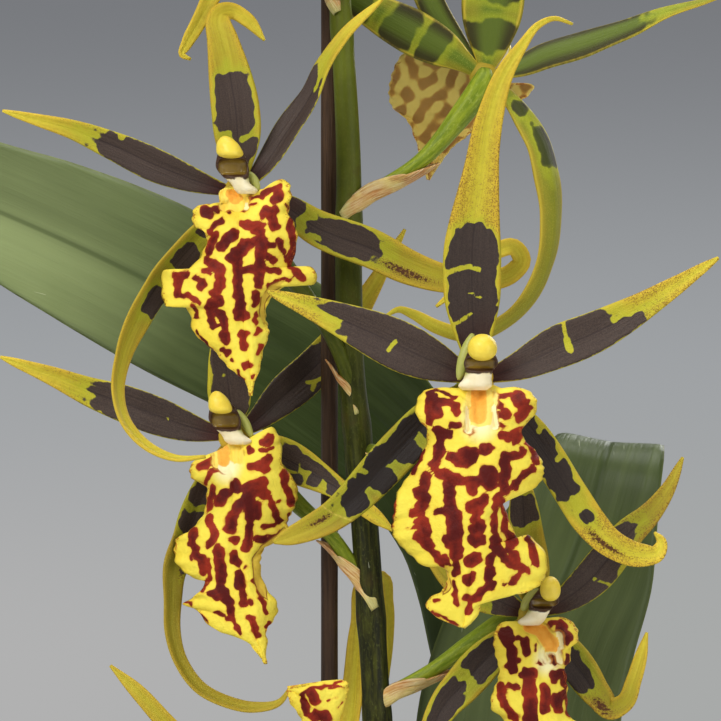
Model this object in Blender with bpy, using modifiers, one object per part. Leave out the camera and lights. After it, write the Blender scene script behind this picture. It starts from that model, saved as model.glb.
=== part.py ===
"""Potted cambria orchid: a staked flower spike with seven open blooms and three buds.

Lengths are in millimetres and become metres where a mesh is made.
+X is right, +Y is toward the back and +Z is up. The origin is the centre of the pot's underside.
"""
import math
import random

import bmesh
import bpy
import numpy as np
from mathutils import Matrix, Vector

MM = 0.001
GAP = 0.3

POT_HEIGHT = 112.0
POT_FOOT_RADIUS = 42.0
POT_TOP_RADIUS = 58.0
POT_WALL = 1.6
POT_RIM_HEIGHT = 9.0
POT_RIM_OVERHANG = 3.0
POT_STEPS = 36
DRAIN_HOLE_RADIUS = 4.0
DRAIN_CIRCLE_RADIUS = 26.0
DRAIN_HOLES = 4

BARK_TOP = 97.0
BARK_CHIPS = 26
CHIP_SIZE = (19.0, 11.0, 6.0)
BARK_SEED = 7
HOLE_TOP = 120.0
HOLE_SEGMENTS = 20
STEM_HOLE_CLEARANCE = 1.0
LEAF_SLOT_CLEARANCE = (7.0, 4.0)

BULB_HALF_SIZE = (11.0, 17.0, 34.0)
BULB_CENTRE_HEIGHT = 122.0
BULB_PLACES = [(1.0, 24.0), (-24.0, 20.0), (26.0, 20.0)]
BULB_RIBS = 7
BULB_SEGMENTS = 16
BULB_RINGS = 10
BULB_RIB_DEPTH = 0.03

STEM_RADIUS = 3.2
STEM_TIP_RADIUS = 1.5
STEM_LINE = [(14.8, 0, 88), (13.6, 0, 125), (9.2, 0, 214), (4.3, 0, 310), (2.1, 0, 352), (-1.2, 0, 415),
             (-4.7, 0, 483), (-7.0, 0, 525), (-11, 0, 572)]
STAKE_RADIUS = 2.0
STAKE_PLACE = (-7.2, 6.0)
STAKE_FOOT = 40.0
STAKE_TOP = 545.0
CLIP_HEIGHTS = (262.0, 498.0)
CLIP_WIRE_RADIUS = 0.8
CLIP_STEM_CLEARANCE = 0.6
CLIP_STAKE_CLEARANCE = 0.4

TEPAL_THICKNESS = 0.8
LIP_THICKNESS = 0.8
LEAF_THICKNESS = 1.0
BRACT_THICKNESS = 0.6
CORE_HALF_SIZE = (3.4, 2.0, 3.6)
CORE_FORWARD = 0.4
TEPAL_START = 2.1
TEPAL_ROWS = 11
LINE_SAMPLES = 160
LEAF_ROWS = 16
BUD_ROWS = 9
COLUMN_ROWS = 9
STEM_ROWS = 26
STALK_ROWS = 8
TEPAL_KEEL = 14.0
LEAF_KEEL = 13.0

# share of the widest half-width, at shares of the length
PETAL_OUTLINE = [(0, .3), (.08, .55), (.17, .8), (.3, 1), (.42, .98), (.55, .83), (.7, .6), (.85, .37),
                 (.95, .2), (1, .07)]
SEPAL_OUTLINE = [(0, .3), (.06, .48), (.14, .8), (.25, 1), (.38, .95), (.5, .75), (.62, .55), (.75, .45),
                 (.9, .33), (1, .07)]
DORSAL_OUTLINE = [(0, .28), (.08, .6), (.18, .9), (.32, 1), (.48, .88), (.64, .72), (.77, .52), (.88, .33),
                  (1, .07)]
LEAF_OUTLINE = [(0, .3), (.12, .45), (.3, .8), (.5, 1), (.7, .95), (.85, .7), (.95, .35), (1, .04)]

# Each bloom: the centre in the plant's frame, then everything else as offsets from it, (right, back, up).
# A tepal is its half-width, its roll in degrees along the length and the line of its midrib.
# A lip is three lines from the throat to the tip, and a column is the line of its axis.
BLOOMS = {
    "bloom_1": dict(
        centre=(-25.8, -16, 519.6), face=(0, -1, 0),
        dorsal=(5.6, [0], [(0, 0, 0), (1.5, 0, 10), (3.5, 0, 26), (6.5, 1, 39.5), (12, 5, 47.5),
                           (17.5, 10, 47)]),
        petal_left=(4.8, [0], [(0, 0, 0), (-12.5, -1, 6), (-30.5, 0, 14), (-43, 1, 17.5), (-53.5, 2, 19)]),
        petal_right=(4.8, [0], [(0, 0, 0), (11, -2, 7.5), (23.5, -4, 17.5), (34.5, -4, 26.5),
                                (43.5, -4, 35.5)]),
        sepal_left=(4.4, [0, 0, 20], [(0, 0, 0), (-1.5, 3, -11), (-3.5, 3, -24.5), (-5.5, 2, -32.5),
                                      (-8.5, 1, -38.5), (-11, 1, -43.5), (-13.5, 1, -48), (-14.5, 1, -50.5),
                                      (-12.5, 1, -51.5)]),
        sepal_right=(4.6, [0], [(0, 0, 0), (9, 3, -10), (16.5, 3, -21.5), (27, 1, -28.5), (37, 0, -27.5),
                                (43.5, 1, -18.5), (46, 2, -9)]),
        lip_left=[(-2, -3, -2.5), (-9, -3, -2.5), (-10, -4, -5.5), (-7.5, -5.5, -11), (-11, -4, -17.5),
                  (-16, -3, -23.5), (-14, -4, -30), (-7.5, -5.5, -34), (-3.5, -7, -39), (-1, -7, -44)],
        lip_middle=[(.5, -2.5, -2.5), (.5, -5, -4.5), (.5, -8, -7.5), (.5, -9, -12.5), (1, -9.5, -19),
                    (1, -9.5, -25), (.5, -9, -30.5), (.5, -8.5, -35), (0, -8, -40), (-.5, -7, -44.5)],
        lip_right=[(2.5, -3, -2), (10, -3, -.5), (11.5, -4, -4), (9.5, -5.5, -10), (12, -4, -17),
                   (16, -3, -23.5), (12, -4, -29), (6.5, -5.5, -32), (3.5, -6.5, -37), (0, -7, -44)],
        column=[(0, -4, 0), (1, -6, 3.5), (1.5, -6.5, 7.5)]),
    "bloom_2": dict(
        centre=(28.7, 8, 466.1), face=(0, 1, 0),
        dorsal=(7.6, [0], [(0, 0, 0), (1, -.5, 5), (1.5, -1, 10.5), (2.5, -1, 22), (3.5, 0, 36), (4.5, 2, 48),
                           (5, 6, 59)]),
        petal_left=(4.0, [-40], [(0, 0, 0), (-5, 1, 6.5), (-10, 2, 13.5), (-13.5, 2, 20.5), (-18, 1, 31.5),
                                 (-22.5, 0, 41), (-25.5, -1, 50)]),
        petal_right=(4.2, [30, 45], [(0, 0, 0), (7, 1, 2), (14.5, 2, 5.5), (24, 2, 8.5), (33, 1, 11.5),
                                     (42, 0, 15), (54, -1, 18)]),
        sepal_left=(5.4, [0], [(0, 0, 0), (-8, -1, 5.5), (-17, -1, 10.5), (-26, 1, 15.5), (-36, 3, 21),
                               (-45, 5, 25), (-53.5, 8, 28.5)]),
        sepal_right=(4.4, [20, 45, 50], [(0, 0, 0), (5.5, -1, -4.5), (9.5, -2, -9.5), (13, -3, -15.5),
                                         (15, -4, -22.5), (16, -5, -32), (15, -7, -41), (11.5, -9, -50),
                                         (5, -12, -57), (-3.5, -15, -60.5), (-11.5, -17, -58.5),
                                         (-17, -18, -55.5), (-20, -19, -54.5), (-23, -20, -56)]),
        lip_left=[(2.5, 4, -2), (8.5, 5, -3.5), (7.5, 7, -6.5), (3, 11, -8.5), (-.5, 15, -14),
                  (-4, 21, -19.5), (-10.5, 27, -22)],
        lip_middle=[(0, 3, -1), (-1, 7, -2), (-2.5, 11, -3.5), (-5, 16, -6.5), (-7, 22, -10.5),
                    (-8.5, 26, -16), (-10.5, 28, -22)],
        lip_right=[(-2, 4, 1.5), (-8, 5, 5.5), (-16.5, 9, 6.5), (-21, 14, 3), (-21.5, 19, -3),
                   (-17.5, 22, -9), (-11, 27, -22)],
        column=[(.7, 3.8, 1.5), (3.4, 6, 5.3), (5, 7, 8.5)]),
    "bloom_3": dict(
        centre=(-27.5, -19, 437.6), face=(0, -1, 0),
        dorsal=(5.6, [0], [(0, 0, 0), (0, 0, 9.5), (-.5, -1, 18.5), (-2, -1, 27.5), (-3.5, -1, 34.5),
                           (-4, 0, 39.5), (-2.5, 2, 41.5), (1, 4, 40), (5, 6, 35.5)]),
        petal_left=(3.9, [15], [(0, 0, 0), (-8.5, -1, 2.5), (-17.5, -1, 6), (-28.5, 0, 11), (-37.5, 0, 14.5),
                                (-45, 0, 16.5), (-53, 0, 18.5)]),
        petal_right=(3.9, [20, 45, 50, 20], [(0, 0, 0), (5.5, 0, 5.5), (11, 1, 13.5), (16.5, 2, 22),
                                             (19.5, 4, 29), (24, 6, 36), (32.5, 8, 44.5)]),
        sepal_left=(4.4, [10, 45, 55, 60], [(0, 0, 0), (-11, 3, -12), (-18.5, 3, -20.5), (-23, 1, -28),
                                            (-26, -2, -36), (-27, -5, -44.5), (-25, -7, -51.5),
                                            (-20.5, -8, -56.5), (-13.5, -8, -59.5), (-7, -7, -59)]),
        sepal_right=(4.6, [0], [(0, 0, 0), (9, 3, -2), (17.5, 5, -7.5), (30.5, 7, -12.5), (38.5, 7, -16.5),
                                (46.5, 7, -19), (55.5, 7, -19.5), (61.5, 7, -18), (64, 6, -15), (62, 4, -12),
                                (58, 2, -13), (51, 0, -20), (44.5, -1, -25.5)]),
        lip_left=[(-1.5, -3, -1.5), (-9.5, -4, -3), (-10, -4.5, -6.5), (-7, -5, -9.5), (-10.5, -4.5, -14),
                  (-16.5, -3, -18.5), (-16, -3, -25.5), (-10, -4, -30), (-4, -5, -36), (1, -6, -41.5),
                  (3, -6, -45)],
        lip_middle=[(.5, -2.5, -2), (.5, -4.5, -4), (.5, -7, -7), (.5, -8, -10.5), (1, -8.5, -15),
                    (1, -8.5, -19.5), (1.5, -8.5, -24), (1.5, -8, -29.5), (2.5, -7.5, -35.5), (3, -7, -41),
                    (3, -6, -45.5)],
        lip_right=[(3, -3, -1), (10.5, -4, 2.5), (12, -4.5, -1), (12.5, -5, -5), (14, -5, -11.5),
                   (17.5, -3, -18.5), (10.5, -4, -21.5), (8, -5, -27.5), (7, -5, -32), (5, -6, -40),
                   (3.5, -6, -45)],
        column=[(0, -4, .5), (-2, -5, 5), (-2, -5, 10)]),
    "bloom_4": dict(
        centre=(26, -36, 395.7), face=(0, -1, 0),
        dorsal=(5.8, [0], [(0, 0, 0), (-1, 0, 9), (-1.5, -1, 17.5), (-1.5, -2, 28.5), (0, -2, 42.5),
                           (2.5, -1, 58), (5.5, 0, 67), (9.5, 1, 73.5), (13.5, 3, 78.5), (17, 5, 80),
                           (21, 7, 79)]),
        petal_left=(5.6, [0], [(0, 0, 0), (-12, -1, 5), (-25, 0, 11), (-37, 1, 16), (-46.5, 2, 19.5)]),
        petal_right=(5.0, [15], [(0, 0, 0), (9, -1, 3), (17.5, -1, 7), (26, 0, 10.5), (33.5, 1, 14.5),
                                 (42.5, 2, 20), (53, 3, 27)]),
        sepal_left=(4.6, [0, 15], [(0, 0, 0), (-8.5, 4, -6), (-16, 5, -12), (-23.5, 6, -17.5),
                                   (-30.5, 7, -25), (-36, 7, -31), (-42, 7, -35.5)]),
        sepal_right=(4.2, [10, 20], [(0, 0, 0), (7, 3, -7), (12, 5, -12.5), (16.5, 6, -19), (20.5, 6, -25.5),
                                     (24.5, 6, -31.5), (29.5, 6, -36.5), (36, 7, -39), (40, 8, -38.5),
                                     (41, 9, -36), (39.5, 10, -34)]),
        lip_left=[(-2.5, -3, -2.5), (-12, -3.5, -2), (-14, -4, -5), (-11.5, -5.5, -12), (-14.5, -4, -20.5),
                  (-18.5, -2.5, -28.5), (-18.5, -2.5, -34), (-13, -4, -39.5), (-7.5, -5.5, -42.5),
                  (-8.5, -4.5, -47.5), (-11.5, -3, -50), (-4, -6, -53.5)],
        lip_middle=[(0, -2.5, -3), (0, -5, -4.5), (-.5, -8, -6.5), (-.5, -9.5, -11.5), (-.5, -10, -17),
                    (-.5, -10.5, -24), (-1, -10.5, -30.5), (-1.5, -10, -37), (-2, -9, -41.5),
                    (-2.5, -8, -47.5), (-3, -7, -51), (-3.5, -6, -54)],
        lip_right=[(2.5, -3, -2.5), (11, -3.5, -2), (13, -4, -5), (9.5, -5.5, -11.5), (13, -3.5, -18),
                   (14, -3, -22), (7, -6, -27), (10, -4, -34), (15, -2.5, -41), (12, -4, -46),
                   (4, -6, -47.5), (-2.5, -6, -54)],
        column=[(0, -4, 0), (0, -6, 4), (.5, -6, 8)]),
    "bloom_5": dict(
        centre=(-29, -9, 382.8), face=(0, -1, 0),
        dorsal=(5.0, [0], [(0, 0, 0), (-.5, -1, 7), (-1.5, -2, 15), (-2.5, -2, 22), (-4, -1, 27.5)]),
        petal_left=(4.6, [10], [(0, 0, 0), (-7.5, -1, 1.5), (-16.5, -1, 4.5), (-24.5, 0, 7.5), (-32, 0, 10),
                                (-40.5, 0, 13.5), (-53, 0, 18)]),
        petal_right=(4.8, [0, -10, -30], [(0, 0, 0), (4.5, 4, 3), (11, 13, 9), (18.5, 20.5, 16),
                                          (26, 24, 25.5), (32.5, 25, 36), (36.5, 25, 43), (39.5, 25, 48)]),
        sepal_left=(4.4, [10, 45, 60], [(0, 0, 0), (-5.5, 2, -10), (-10.5, 1, -22.5), (-13.5, -1, -29.5),
                                        (-14, -2, -37), (-14, -3, -44), (-12, -4, -51), (-7.5, -5, -57),
                                        (-2, -5, -60), (5, -5, -61.5), (11, -5, -60), (13, -5, -57)]),
        sepal_right=(4.6, [0], [(0, 0, 0), (8.5, 3, -3.5), (17.5, 2, -8), (23.5, 0, -11), (30, -3, -13),
                                (36, -5, -14.5)]),
        lip_left=[(-2, -3, -2), (-9, -3.5, -6.5), (-9.5, -4, -9.5), (-6, -5.5, -14), (-10, -4, -20),
                  (-13.5, -3, -25.5), (-10.5, -4, -30.5), (-6, -6, -33.5), (-11, -4, -38), (-4, -6, -43),
                  (2.5, -7, -46), (7.5, -7, -51)],
        lip_middle=[(.5, -2.5, -2), (.5, -5, -3.5), (.5, -8, -6.5), (.5, -9, -11.5), (.5, -9.5, -17.5),
                    (1, -9.5, -24.5), (2, -9, -29.5), (3, -9, -34), (4, -9, -39), (5, -8.5, -43.5),
                    (6.5, -8, -47.5), (7.5, -7, -51)],
        lip_right=[(3, -3, -1), (9.5, -3.5, 2), (11, -4, -2), (14.5, -4, -12), (15, -3.5, -18),
                   (12.5, -4, -21.5), (7, -6, -25.5), (6, -7, -29), (10, -4.5, -37.5), (9, -5.5, -42.5),
                   (7, -6.5, -46), (8, -7, -51)],
        column=[(0, -4, .5), (-2.5, -6, 4), (-3.5, -6.5, 8)]),
    "bloom_6": dict(
        centre=(38.8, -14, 342.5), face=(0, -1, 0),
        dorsal=(4.8, [0], [(0, 0, 0), (-.5, -2, 8), (-1.5, -3, 16), (-2, -2, 23.5), (-2.5, 0, 30.5),
                           (-3, 2, 36)]),
        petal_left=(4.6, [0], [(0, 0, 0), (-6, -1, 2.5), (-12, 0, 5.5), (-17.5, 1, 9.5), (-22, 2, 15),
                               (-25.5, 2, 21), (-27, 3, 26.5)]),
        petal_right=(4.4, [0], [(0, 0, 0), (6.5, -1, 3), (12.5, -1, 7.5), (17.5, 0, 13), (22, 1, 18.5),
                                (26.5, 2, 22.5), (30.5, 3, 27.5), (34.5, 4, 35.5)]),
        sepal_left=(4.6, [0], [(0, 0, 0), (-6, 3, -6), (-11.5, 4, -11.5), (-15.5, 4, -16), (-19.5, 4, -20.5),
                               (-23, 3, -27), (-25.5, 2, -34.5), (-27, 1, -42), (-26, -1, -49.5)]),
        sepal_right=(4.2, [10], [(0, 0, 0), (5.5, 3, -6), (11, 4, -13), (15, 3, -18.5), (18, 2, -21.5),
                                 (21, 1, -20), (23, 0, -15), (24.5, 0, -10), (26, 0, -4)]),
        lip_left=[(-1.5, -3, -2), (-7.5, -3, -2.5), (-8.5, -4, -5.5), (-7.5, -5.5, -9.5), (-9, -4.5, -16.5),
                  (-6.5, -4, -24), (-10, -3, -31.5), (-7.5, -4, -37), (-3, -6, -41), (-3, -6.5, -45.5),
                  (0, -7, -50)],
        lip_middle=[(.5, -2.5, -2), (.5, -5, -3), (1, -8, -5.5), (1, -9, -9.5), (1, -9.5, -16),
                    (1, -9.5, -23), (.5, -9.5, -29.5), (.5, -9, -35), (.5, -8.5, -40), (.5, -8, -45),
                    (.5, -7, -50.5)],
        lip_right=[(2.5, -3, -1), (9.5, -3, 0), (10.5, -4, -4), (8, -5.5, -8.5), (7.5, -4.5, -16.5),
                   (12, -3.5, -23.5), (15, -3, -29.5), (9.5, -4, -34), (5, -5.5, -39), (3.5, -6, -44.5),
                   (1, -7, -50)],
        column=[(0, -4, 1), (2, -6, 4), (3.5, -6.5, 7)]),
    "bloom_7": dict(
        centre=(-.6, -16, 299.6), face=(0, -1, 0),
        dorsal=(5.2, [0], [(0, 0, 0), (5, -1, -7), (11.5, -1, -16.5), (18.5, 1, -27), (23.5, 4, -36.5)]),
        petal_left=(4.8, [0], [(0, 0, 0), (-4.5, -1, -6.5), (-9.5, 0, -15.5), (-15.5, 2, -25),
                               (-22, 5, -33.5)]),
        petal_right=(4.8, [0], [(0, 0, 0), (7.5, -1, -1), (15, -1, -5.5), (22, 0, -11.5), (27, 2, -19.5)]),
        sepal_left=(4.8, [0], [(0, 0, 0), (-11, 1, -2), (-21.5, 0, 0), (-32, -3, 7.5), (-41.5, -5, 17.5),
                               (-49.5, -6, 26.5), (-55.5, -5, 32)]),
        sepal_right=(3.5, [20, 60], [(0, 0, 0), (-1.5, 7, 7.5), (-2, 14, 14), (-1.2, 20, 21), (-.4, 23, 30),
                                     (.5, 24, 38.5), (3.5, 24, 44.5), (6, 24, 45), (7, 24, 39.5),
                                     (7.5, 24, 32.5), (7.5, 24, 26.5)]),
        lip_left=[(-2.5, -3, 1.5), (-8, -4, .5), (-9.5, -5, 4), (-9, -7, 7), (-14.5, -9, 9.5), (-14, -12, 15),
                  (-12.5, -15, 20.5), (-15, -17, 25), (-15.5, -18, 27.5)],
        lip_middle=[(-1, -2.5, 2), (-2, -6, 4.5), (-3, -9, 7.5), (-4, -12, 11), (-6, -14, 15.5),
                    (-7.5, -16, 19.5), (-10, -17, 24), (-13, -18, 26.5), (-15.5, -18, 28)],
        lip_right=[(1, -3, 3), (3.5, -4, 7), (2, -6, 10.5), (-1.5, -9, 13.5), (-4, -12, 20),
                   (-2.5, -14, 25.5), (-2.5, -15, 29.5), (-8.5, -17, 29.5), (-15.5, -18, 28.5)],
        column=[(.5, -4, 0), (3, -6, -2.5), (4.5, -6.5, -5)]),
}

# lines of the flower stalks, from the stem's axis to just behind each bloom or to the foot of each bud
PEDICELS = {
    "bloom_1": [(-4.6, 0, 480.6), (-8.5, -.5, 488), (-13, -1.5, 499), (-19.5, -4, 510), (-24.5, -8, 517),
                (-25.8, -11, 519.2), (-25.8, -13.6, 519.6)],
    "bloom_2": [(-2.3, 0, 435.8), (5, 0, 440), (14.5, 0, 446.5), (22, 0, 455), (27, 1, 462), (28.5, 3, 465),
                (28.7, 5.2, 466.1)],
    "bloom_3": [(.3, 0, 388.6), (-3.6, -1, 396), (-8, -3, 404), (-14.5, -6, 415), (-21.5, -9, 427),
                (-26.5, -12.5, 435.5), (-27.5, -16.3, 437.6)],
    "bloom_4": [(.7, 0, 379.4), (6, -5, 379), (12, -13, 383), (19, -21, 389), (24.5, -28, 394),
                (26, -33.6, 395.7)],
    "bloom_5": [(2.4, 0, 344.9), (-1.5, -.5, 352), (-7, -.5, 360), (-14.5, 0, 367), (-22, 0, 375),
                (-27.5, -2, 381), (-29, -6.3, 382.8)],
    "bloom_6": [(3.8, 0, 321.9), (9, -.5, 324.5), (16, -1, 328.5), (26, -3, 335.5), (35, -6.5, 341),
                (38.3, -9, 342.4), (38.8, -11.3, 342.5)],
    "bloom_7": [(5.6, 0, 283), (4, -3.5, 286), (1.5, -7, 291), (-.3, -10, 296.5), (-.6, -13.2, 299.6)],
    "bud_1": [(-6.4, 0, 517.4), (-2.5, -1.5, 521), (3, -3.5, 528), (7, -5, 537)],
    "bud_2": [(-9.2, 0, 548), (-13, -1, 551), (-18, -2, 556), (-22, -3, 563)],
    "bud_3": [(-11, 0, 572), (-11.8, -.3, 576), (-13, -1, 581)],
}
PEDICEL_RADIUS = 1.7
OVARY_RADIUS = 2.7
BUD_LENGTHS = {"bud_1": 33.0, "bud_2": 27.0, "bud_3": 20.0}
BUD_RADIUS_SHARE = 0.125
BUD_PROFILE = [(.0, .35), (.1, .72), (.25, .95), (.42, 1), (.6, .88), (.78, .6), (.92, .28), (1, .08)]
BRACT_SPAN = {"bloom_1": 17.0, "bloom_2": 17.0, "bloom_3": 13.0, "bloom_4": 12.0, "bloom_5": 13.0,
              "bloom_6": 12.0, "bloom_7": 11.0, "bud_1": 10.0, "bud_2": 8.0, "bud_3": 5.0}
BRACT_HALF_WIDTH = 2.2
BRACT_ROWS = 7
BRACT_KEEL = 22.0
BRACT_SIDE = (0, .35, -1.0)
BRACT_STEM_CLEARANCE = 1.6
BRACT_STALK_CLEARANCE = 1.05
BRACT_OPENING = 0.9
BRACT_END_SHARE = 0.9
BRACT_OUTLINE = [(0, .85), (.3, 1), (.6, .75), (.85, .4), (1, .06)]
COLUMN_PROFILE = [(0, .8), (.12, .95), (.45, 1.05), (.62, 1), (.7, 1.12), (.84, 1.25), (.95, .95), (1, .4)]
COLUMN_RADIUS = 1.9

# each leaf: half-width, outline, line of the midrib and the direction that its upper face takes along it
LEAVES = {
    "leaf_1": (18.0, [(0, .3), (.2, .4), (.48, .6), (.6, .88), (.68, 1), (.8, .85), (.9, .6), (1, .04)],
               [(25, 24, 156.2), (28, 29, 195), (31, 37, 245), (30, 43, 290), (27, 45, 330), (21, 46, 360),
                (9, 47, 382), (-8, 48, 397), (-41, 49, 415), (-65, 49, 427), (-87, 47, 437), (-112, 40, 446),
                (-136, 30, 449), (-156, 18, 443), (-170, 6, 430)],
               [(-.7, -.7, 0), (-.7, -.7, 0), (-.5, -.9, 0), (-.2, -1, .1), (0, -1, .3), (0, -.9, .5)]),
    "leaf_2": (24.0, [(0, .22), (.2, .5), (.42, .95), (.54, 1), (.6, .95), (.67, .84), (.72, .68), (.79, .52),
                      (.9, .33), (1, .04)],
               [(27, 15.5, 154.9), (31, 13, 200), (34, 16, 250), (36, 20, 295), (38, 22, 318), (43, 22, 336),
                (50.5, 22, 354), (55, 22.5, 367), (58, 25, 376.5), (60, 32, 380), (62, 42, 377),
                (63.5, 54, 366), (64, 64, 350), (64, 70, 332)],
               [(-.1, -1, 0), (-.1, -1, 0), (-.1, -1, 0), (-.1, -1, 0), (-.1, -1, 0), (0, -.3, 1),
                (0, .6, .6)]),
    "leaf_3": (17.0, LEAF_OUTLINE,
               [(-26, 17, 154.8), (-34, 8, 195), (-50, -10, 235), (-78, -35, 262), (-110, -58, 262),
                (-138, -75, 242), (-158, -86, 212)],
               [(.7, .7, 0), (.5, .5, .7), (0, 0, 1), (0, 0, 1)]),
    "leaf_4": (17.0, LEAF_OUTLINE,
               [(-24, 24, 155.6), (-34, 34, 200), (-55, 52, 240), (-88, 78, 262), (-122, 100, 258),
                (-150, 116, 236), (-168, 126, 206)],
               [(.7, -.7, 0), (.5, -.5, .7), (0, 0, 1), (0, 0, 1)]),
    "leaf_5": (16.0, LEAF_OUTLINE,
               [(-1, 27.5, 154.9), (-8, 42, 200), (-20, 66, 238), (-38, 98, 260), (-58, 130, 258),
                (-76, 158, 238), (-90, 180, 208)],
               [(.3, -.9, 0), (.2, -.7, .6), (0, 0, 1), (0, 0, 1)]),
    "leaf_6": (16.0, LEAF_OUTLINE,
               [(4, 22, 156.6), (12, 40, 196), (24, 74, 232), (38, 108, 252), (54, 142, 250), (68, 170, 230),
                (78, 194, 198)],
               [(-.3, -.9, 0), (-.2, -.7, .6), (0, 0, 1), (0, 0, 1)]),
    "leaf_7": (16.0, LEAF_OUTLINE,
               [(41, 12, 93), (47, 6, 135), (64, -12, 180), (92, -34, 208), (124, -54, 210), (152, -70, 192),
                (172, -82, 162)],
               [(-.8, .6, 0), (-.5, .4, .7), (0, 0, 1), (0, 0, 1)]),
    "leaf_8": (16.0, LEAF_OUTLINE,
               [(41, 30, 93), (50, 40, 140), (74, 58, 188), (106, 80, 216), (140, 102, 218), (170, 120, 198),
                (190, 132, 168)],
               [(-.8, -.6, 0), (-.5, -.4, .7), (0, 0, 1), (0, 0, 1)]),
    "leaf_9": (16.0, LEAF_OUTLINE,
               [(-39, 19, 93), (-48, 20, 140), (-74, 22, 186), (-106, 20, 212), (-140, 14, 212),
                (-170, 6, 192), (-192, 0, 162)],
               [(1, 0, 0), (.7, 0, .7), (0, 0, 1), (0, 0, 1)]),
}
BURIED_LEAVES = ("leaf_7", "leaf_8", "leaf_9")

COLOURS = {
    "pot": ((.035, .032, .03), .5), "bark": ((.16, .085, .045), .9), "bulb": ((.16, .24, .05), .45),
    "leaf": ((.05, .13, .025), .4), "stem": ((.07, .15, .03), .45), "stake": ((.05, .032, .026), .55),
    "clip": ((.03, .07, .03), .4), "bract": ((.5, .36, .2), .7), "tepal": ((.10, .05, .035), .5),
    "lip": ((.75, .52, .05), .5), "column": ((.85, .7, .25), .4), "bud": ((.32, .38, .06), .45),
}


def clear_scene():
    for obj in list(bpy.data.objects):
        bpy.data.objects.remove(obj, do_unlink=True)


def make_collection(name, cutters=False):
    collection = bpy.data.collections.new(name)
    bpy.context.scene.collection.children.link(collection)
    collection.hide_render = cutters
    return collection


def make_material(name):
    colour, roughness = COLOURS[name]
    material = bpy.data.materials.new(name)
    material.use_nodes = True
    shader = material.node_tree.nodes["Principled BSDF"]
    shader.inputs["Base Color"].default_value = (*colour, 1)
    shader.inputs["Roughness"].default_value = roughness
    shader.inputs["Metallic"].default_value = 0
    material.diffuse_color = (*colour, 1)
    return material


def smooth_line(points, count):
    """A smooth line through the points, read at even steps: cubic pieces, each point with its mean slope."""
    points = np.array(points, float)
    lengths = np.concatenate([[0], np.cumsum(np.linalg.norm(np.diff(points, axis=0), axis=1))])
    slopes = np.gradient(points, lengths, axis=0)
    at = np.linspace(0, lengths[-1], count)
    piece = np.clip(np.searchsorted(lengths, at, side="right") - 1, 0, len(points) - 2)
    span = (lengths[piece + 1] - lengths[piece])[:, None]
    u = (at[:, None] - lengths[piece][:, None]) / span
    return ((2 * u**3 - 3 * u**2 + 1) * points[piece] + (u**3 - 2 * u**2 + u) * span * slopes[piece]
            + (3 * u**2 - 2 * u**3) * points[piece + 1] + (u**3 - u**2) * span * slopes[piece + 1])


def unit(vectors):
    return vectors / np.linalg.norm(vectors, axis=-1, keepdims=True)


def spread(values, count):
    """The values, set out evenly along a line, read at even steps."""
    values = np.array(values, float)
    at = np.linspace(0, len(values) - 1, count)
    if values.ndim == 1:
        return np.interp(at, np.arange(len(values)), values)
    return np.stack([np.interp(at, np.arange(len(values)), column) for column in values.T], -1)


def outline_width(outline, count):
    shares = np.array(outline, float)
    return np.interp(np.linspace(0, 1, count), shares[:, 0], shares[:, 1])


def blade(line, half_width, outline, faces, roll=(0,), keel=0.0):
    """Rows of a keeled blade along a line: left edge, midrib and right edge of each row.

    faces gives the direction of the upper face along the blade, and roll turns it about the line.
    """
    count = len(line)
    tangent = unit(np.gradient(line, axis=0))
    face = spread(faces, count)
    face = unit(face - tangent * np.sum(face * tangent, -1, keepdims=True))
    side = np.cross(tangent, face)
    angle = np.radians(spread(roll, count))[:, None]
    side, face = side * np.cos(angle) + face * np.sin(angle), face * np.cos(angle) - side * np.sin(angle)
    width = half_width * outline_width(outline, count)[:, None]
    lift = face * width * math.sin(math.radians(keel))
    reach = side * width * math.cos(math.radians(keel))
    return np.stack([line - reach + lift, line, line + reach + lift], 1)


def add_object(name, mesh, material, collection):
    obj = bpy.data.objects.new(name, mesh)
    mesh.materials.clear()
    mesh.materials.append(material)
    collection.objects.link(obj)
    return obj


def add_sheet(name, rows, thickness, material, collection):
    """A grid of points as triangles, given its thickness by Solidify."""
    rows = np.asarray(rows)
    across = rows.shape[1]
    mesh = bpy.data.meshes.new(name)
    triangles = []
    for i in range(len(rows) - 1):
        for j in range(across - 1):
            a = i * across + j
            triangles += [(a, a + 1, a + across + 1), (a, a + across + 1, a + across)]
    mesh.from_pydata((rows.reshape(-1, 3) * MM).tolist(), [], triangles)
    mesh.shade_smooth()
    obj = add_object(name, mesh, material, collection)
    solidify = obj.modifiers.new("thickness", "SOLIDIFY")
    solidify.thickness = thickness * MM
    solidify.offset = 0
    return obj


def apply_modifiers(obj):
    evaluated = obj.evaluated_get(bpy.context.evaluated_depsgraph_get())
    mesh = bpy.data.meshes.new_from_object(evaluated)
    obj.modifiers.clear()
    obj.data = mesh
    return obj


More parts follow.
